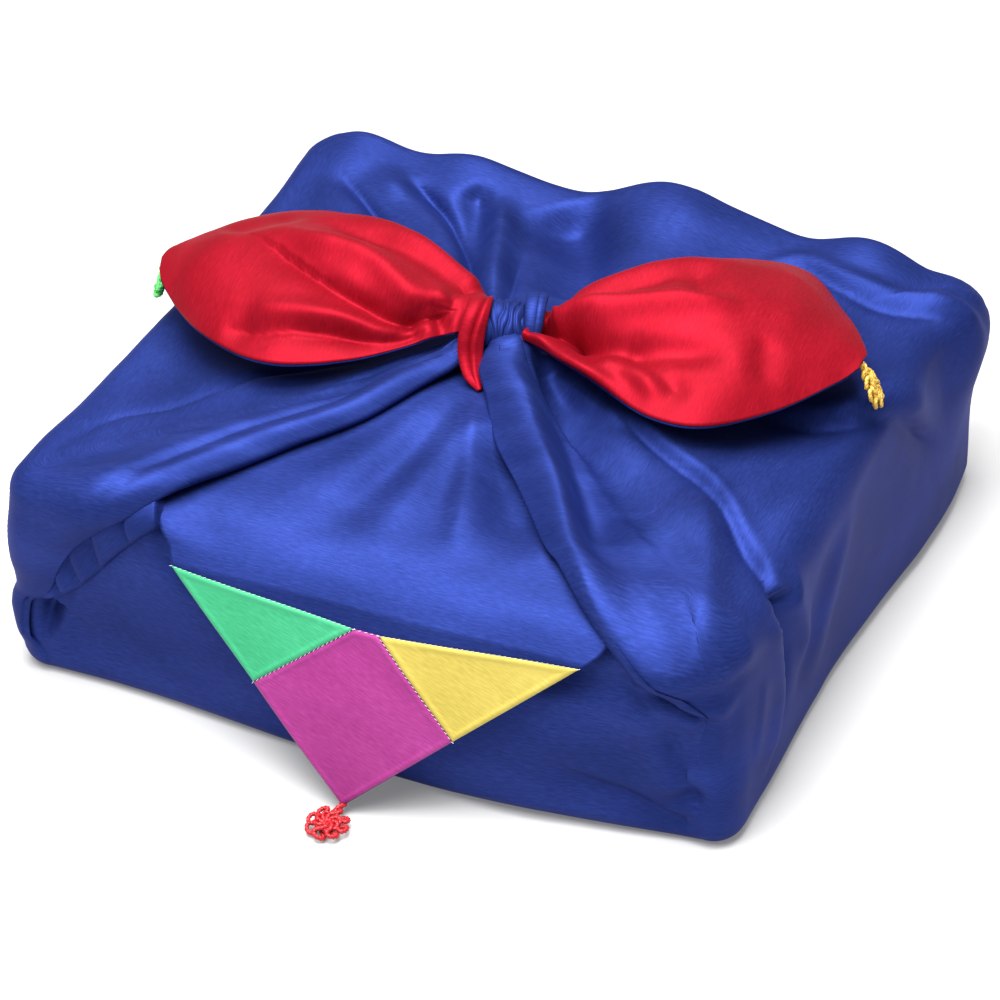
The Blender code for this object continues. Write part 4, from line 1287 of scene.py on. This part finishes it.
def make_camera():
    data = bpy.data.cameras.new("camera")
    data.lens = 128.5
    data.sensor_width = 36.0
    camera = add_object("camera", data)
    azimuth = radians(CAMERA_AZIMUTH)
    elevation = radians(CAMERA_ELEVATION)
    back = Vector((sin(azimuth) * cos(elevation), -cos(azimuth) * cos(elevation), sin(elevation)))
    camera.location = CAMERA_AIM + back * CAMERA_AWAY
    camera.rotation_euler = (radians(90 - CAMERA_ELEVATION), 0, azimuth)
    bpy.context.scene.camera = camera


def make_light(name, size, power, place, aim):
    data = bpy.data.lights.new(name, "AREA")
    data.shape = "RECTANGLE"
    data.size, data.size_y = size
    data.energy = power
    light = add_object(name, data)
    light.location = place
    light.rotation_euler = (Vector(aim) - Vector(place)).to_track_quat("-Z", "Y").to_euler()


def make_studio():
    """A pale floor under a large soft light overhead and a softer one from the front, with an even fill."""
    mesh = bpy.data.meshes.new("studio_floor")
    mesh.from_pydata([(-6, -6, 0), (6, -6, 0), (6, 6, 0), (-6, 6, 0)], [], [(0, 1, 2, 3)])
    floor = add_object("studio_floor", mesh)
    # White paper: dull, and just bright enough by itself to have no grey edge.
    paper, _, shader = new_finish("white_paper_sweep")
    set_inputs(shader, {"Base Color": linear("#BCBCBC"), "Roughness": 0.9, "Specular IOR Level": 0.1,
                        "Emission Color": linear("#FFFFFF"), "Emission Strength": 0.16})
    mesh.materials.append(paper)
    world = bpy.data.worlds.new("studio")
    world.use_nodes = True
    set_inputs(world.node_tree.nodes["Background"], {"Color": linear("#FFFFFF"), "Strength": 0.30})
    bpy.context.scene.world = world
    bpy.context.scene.view_settings.view_transform = "Standard"
    make_light("overhead", (1.3, 1.1), 44, (-0.06, -0.04, 1.5), (0, 0, 0.1))
    make_light("front", (0.9, 0.9), 27, (-0.06, -0.72, 1.36), (0, 0, 0.06))


def mounted(piece, slot, *nodes):
    """Rides a piece on the one body and hides the CAD node that it stands for, if any; its slot is not used.
    """
    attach(piece, "root")
    if nodes:
        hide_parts(*nodes)
    return piece


def make_patchwork(silks, thread):
    """The three patches, each a hair smaller than its outline, and the stitches on their seams."""
    tip = np.array((TIP_ACROSS, TIP_DOWN))
    left = np.array((0.0, 0.0))
    right = np.array((SEAM, 0.0))
    square_left = tip + (left - tip) * SQUARE_LEFT
    square_right = tip + (right - tip) * SQUARE_RIGHT
    top_left = np.array((SEAM * GREEN_END, SEAM_SAG))
    top_right = np.array((SEAM * YELLOW_START, SEAM_SAG))
    patches = []
    for colour, corners in (("green", (left, square_left, top_left)),
                            ("magenta", (top_left, square_left, tip, square_right, top_right)),
                            ("yellow", (top_right, square_right, right))):
        middle = sum(corners) / len(corners)
        drawn = [corner + (middle - corner) / np.linalg.norm(middle - corner) * HEM for corner in corners]
        patch = patch_sheet(f"patch_{colour}_silk", drawn, silks[colour])
        patches.append(mounted(patch, f"{colour}_silk", f"patch_{colour}"))
    seams = ((left, top_left), (top_left, top_right), (top_right, right), (top_left, square_left),
             (top_right, square_right))
    return patches, mounted(make_stitches(thread, seams), "magenta_silk")


def main():
    make_camera()
    make_studio()
    # Taffeta: plain weave of filament silk, deep blue with a blue gloss that is broad and a little streaked.
    blue = woven_silk("blue_silk_taffeta", "#192658", "#212E6B", "#29397C", "#4762C6", gloss=0.5)
    # Satin lining: the same gloss in a brighter red.
    red = woven_silk("red_silk_lining", "#760A16", "#860C1B", "#941223", "#CC4860", gloss=0.35)
    # Thin plain-weave silk, lighter and drier than the cloth round it.
    silks = {
        "green": woven_silk("green_silk_patch", "#2C8C60", "#389A6C", "#46A878", "#B0FFD8", gloss=0.0),
        "magenta": woven_silk("magenta_silk_patch", "#7C2464", "#8C2E70", "#9A3C80", "#FFA0E8", gloss=0.0),
        "yellow": woven_silk("yellow_silk_patch", "#A69440", "#B4A24C", "#C0B05C", "#FFF8B0", gloss=0.0),
    }
    # Rayon cord, twisted from three strands: shiny where it turns to the light, darker in its grooves.
    cords = {
        "red": twisted_cord("red_rayon_cord", "#8A040C", "#A40714", "#BC1826"),
        "green": twisted_cord("green_rayon_cord", "#34A440", "#4CBE58", "#7CD680"),
        "yellow": twisted_cord("yellow_rayon_cord", "#B88A20", "#CFA43A", "#E2C26C"),
    }
    # Sewing silk, fine and pale, so that the stitches show as small bright marks.
    thread = twisted_cord("pale_silk_thread", "#B8B4C8", "#D4D0E0", "#ECE8F4")
    bpy.data.objects["gift_box"].data.materials[0] = kraft_board()

    body = mounted(make_body(blue), "blue_satin", "wrap")
    front = mounted(make_front(blue), "blue_satin")
    underside = mounted(make_underside(blue), "blue_satin")
    flap = mounted(make_flap(blue), "blue_satin")
    tuck = mounted(make_tuck(blue), "blue_satin")
    wound = mounted(make_knot(blue), "blue_satin")
    pinched = mounted(make_band("knot_pinched_fold", BLUE_BAND, blue, 0.2, 0.2, 0.8), "blue_satin")
    band = mounted(make_band("knot_lining_band", RED_BAND, red, 0.75, -0.05, 2.4), "red_satin", "lining_band")
    for knot in CORD_KNOTS:
        rosette = make_cord_knot(knot, cords[knot.name])
        mounted(rosette, f"{knot.name}_cord", f"cord_knot_{knot.name}")
    patches, stitches = make_patchwork(silks, thread)

    # One cloth, 1.1 m square.
    for side, table, creased, cord in (("left", LEFT_TAIL, LEFT_TAIL_CREASES, "green"),
                                       ("right", RIGHT_TAIL, RIGHT_TAIL_CREASES, "yellow")):
        lining, outer = make_tail(side, table, creased, blue, red)
        mounted(lining, "red_satin", f"lining_{side}")
        mounted(outer, "blue_satin")


main()
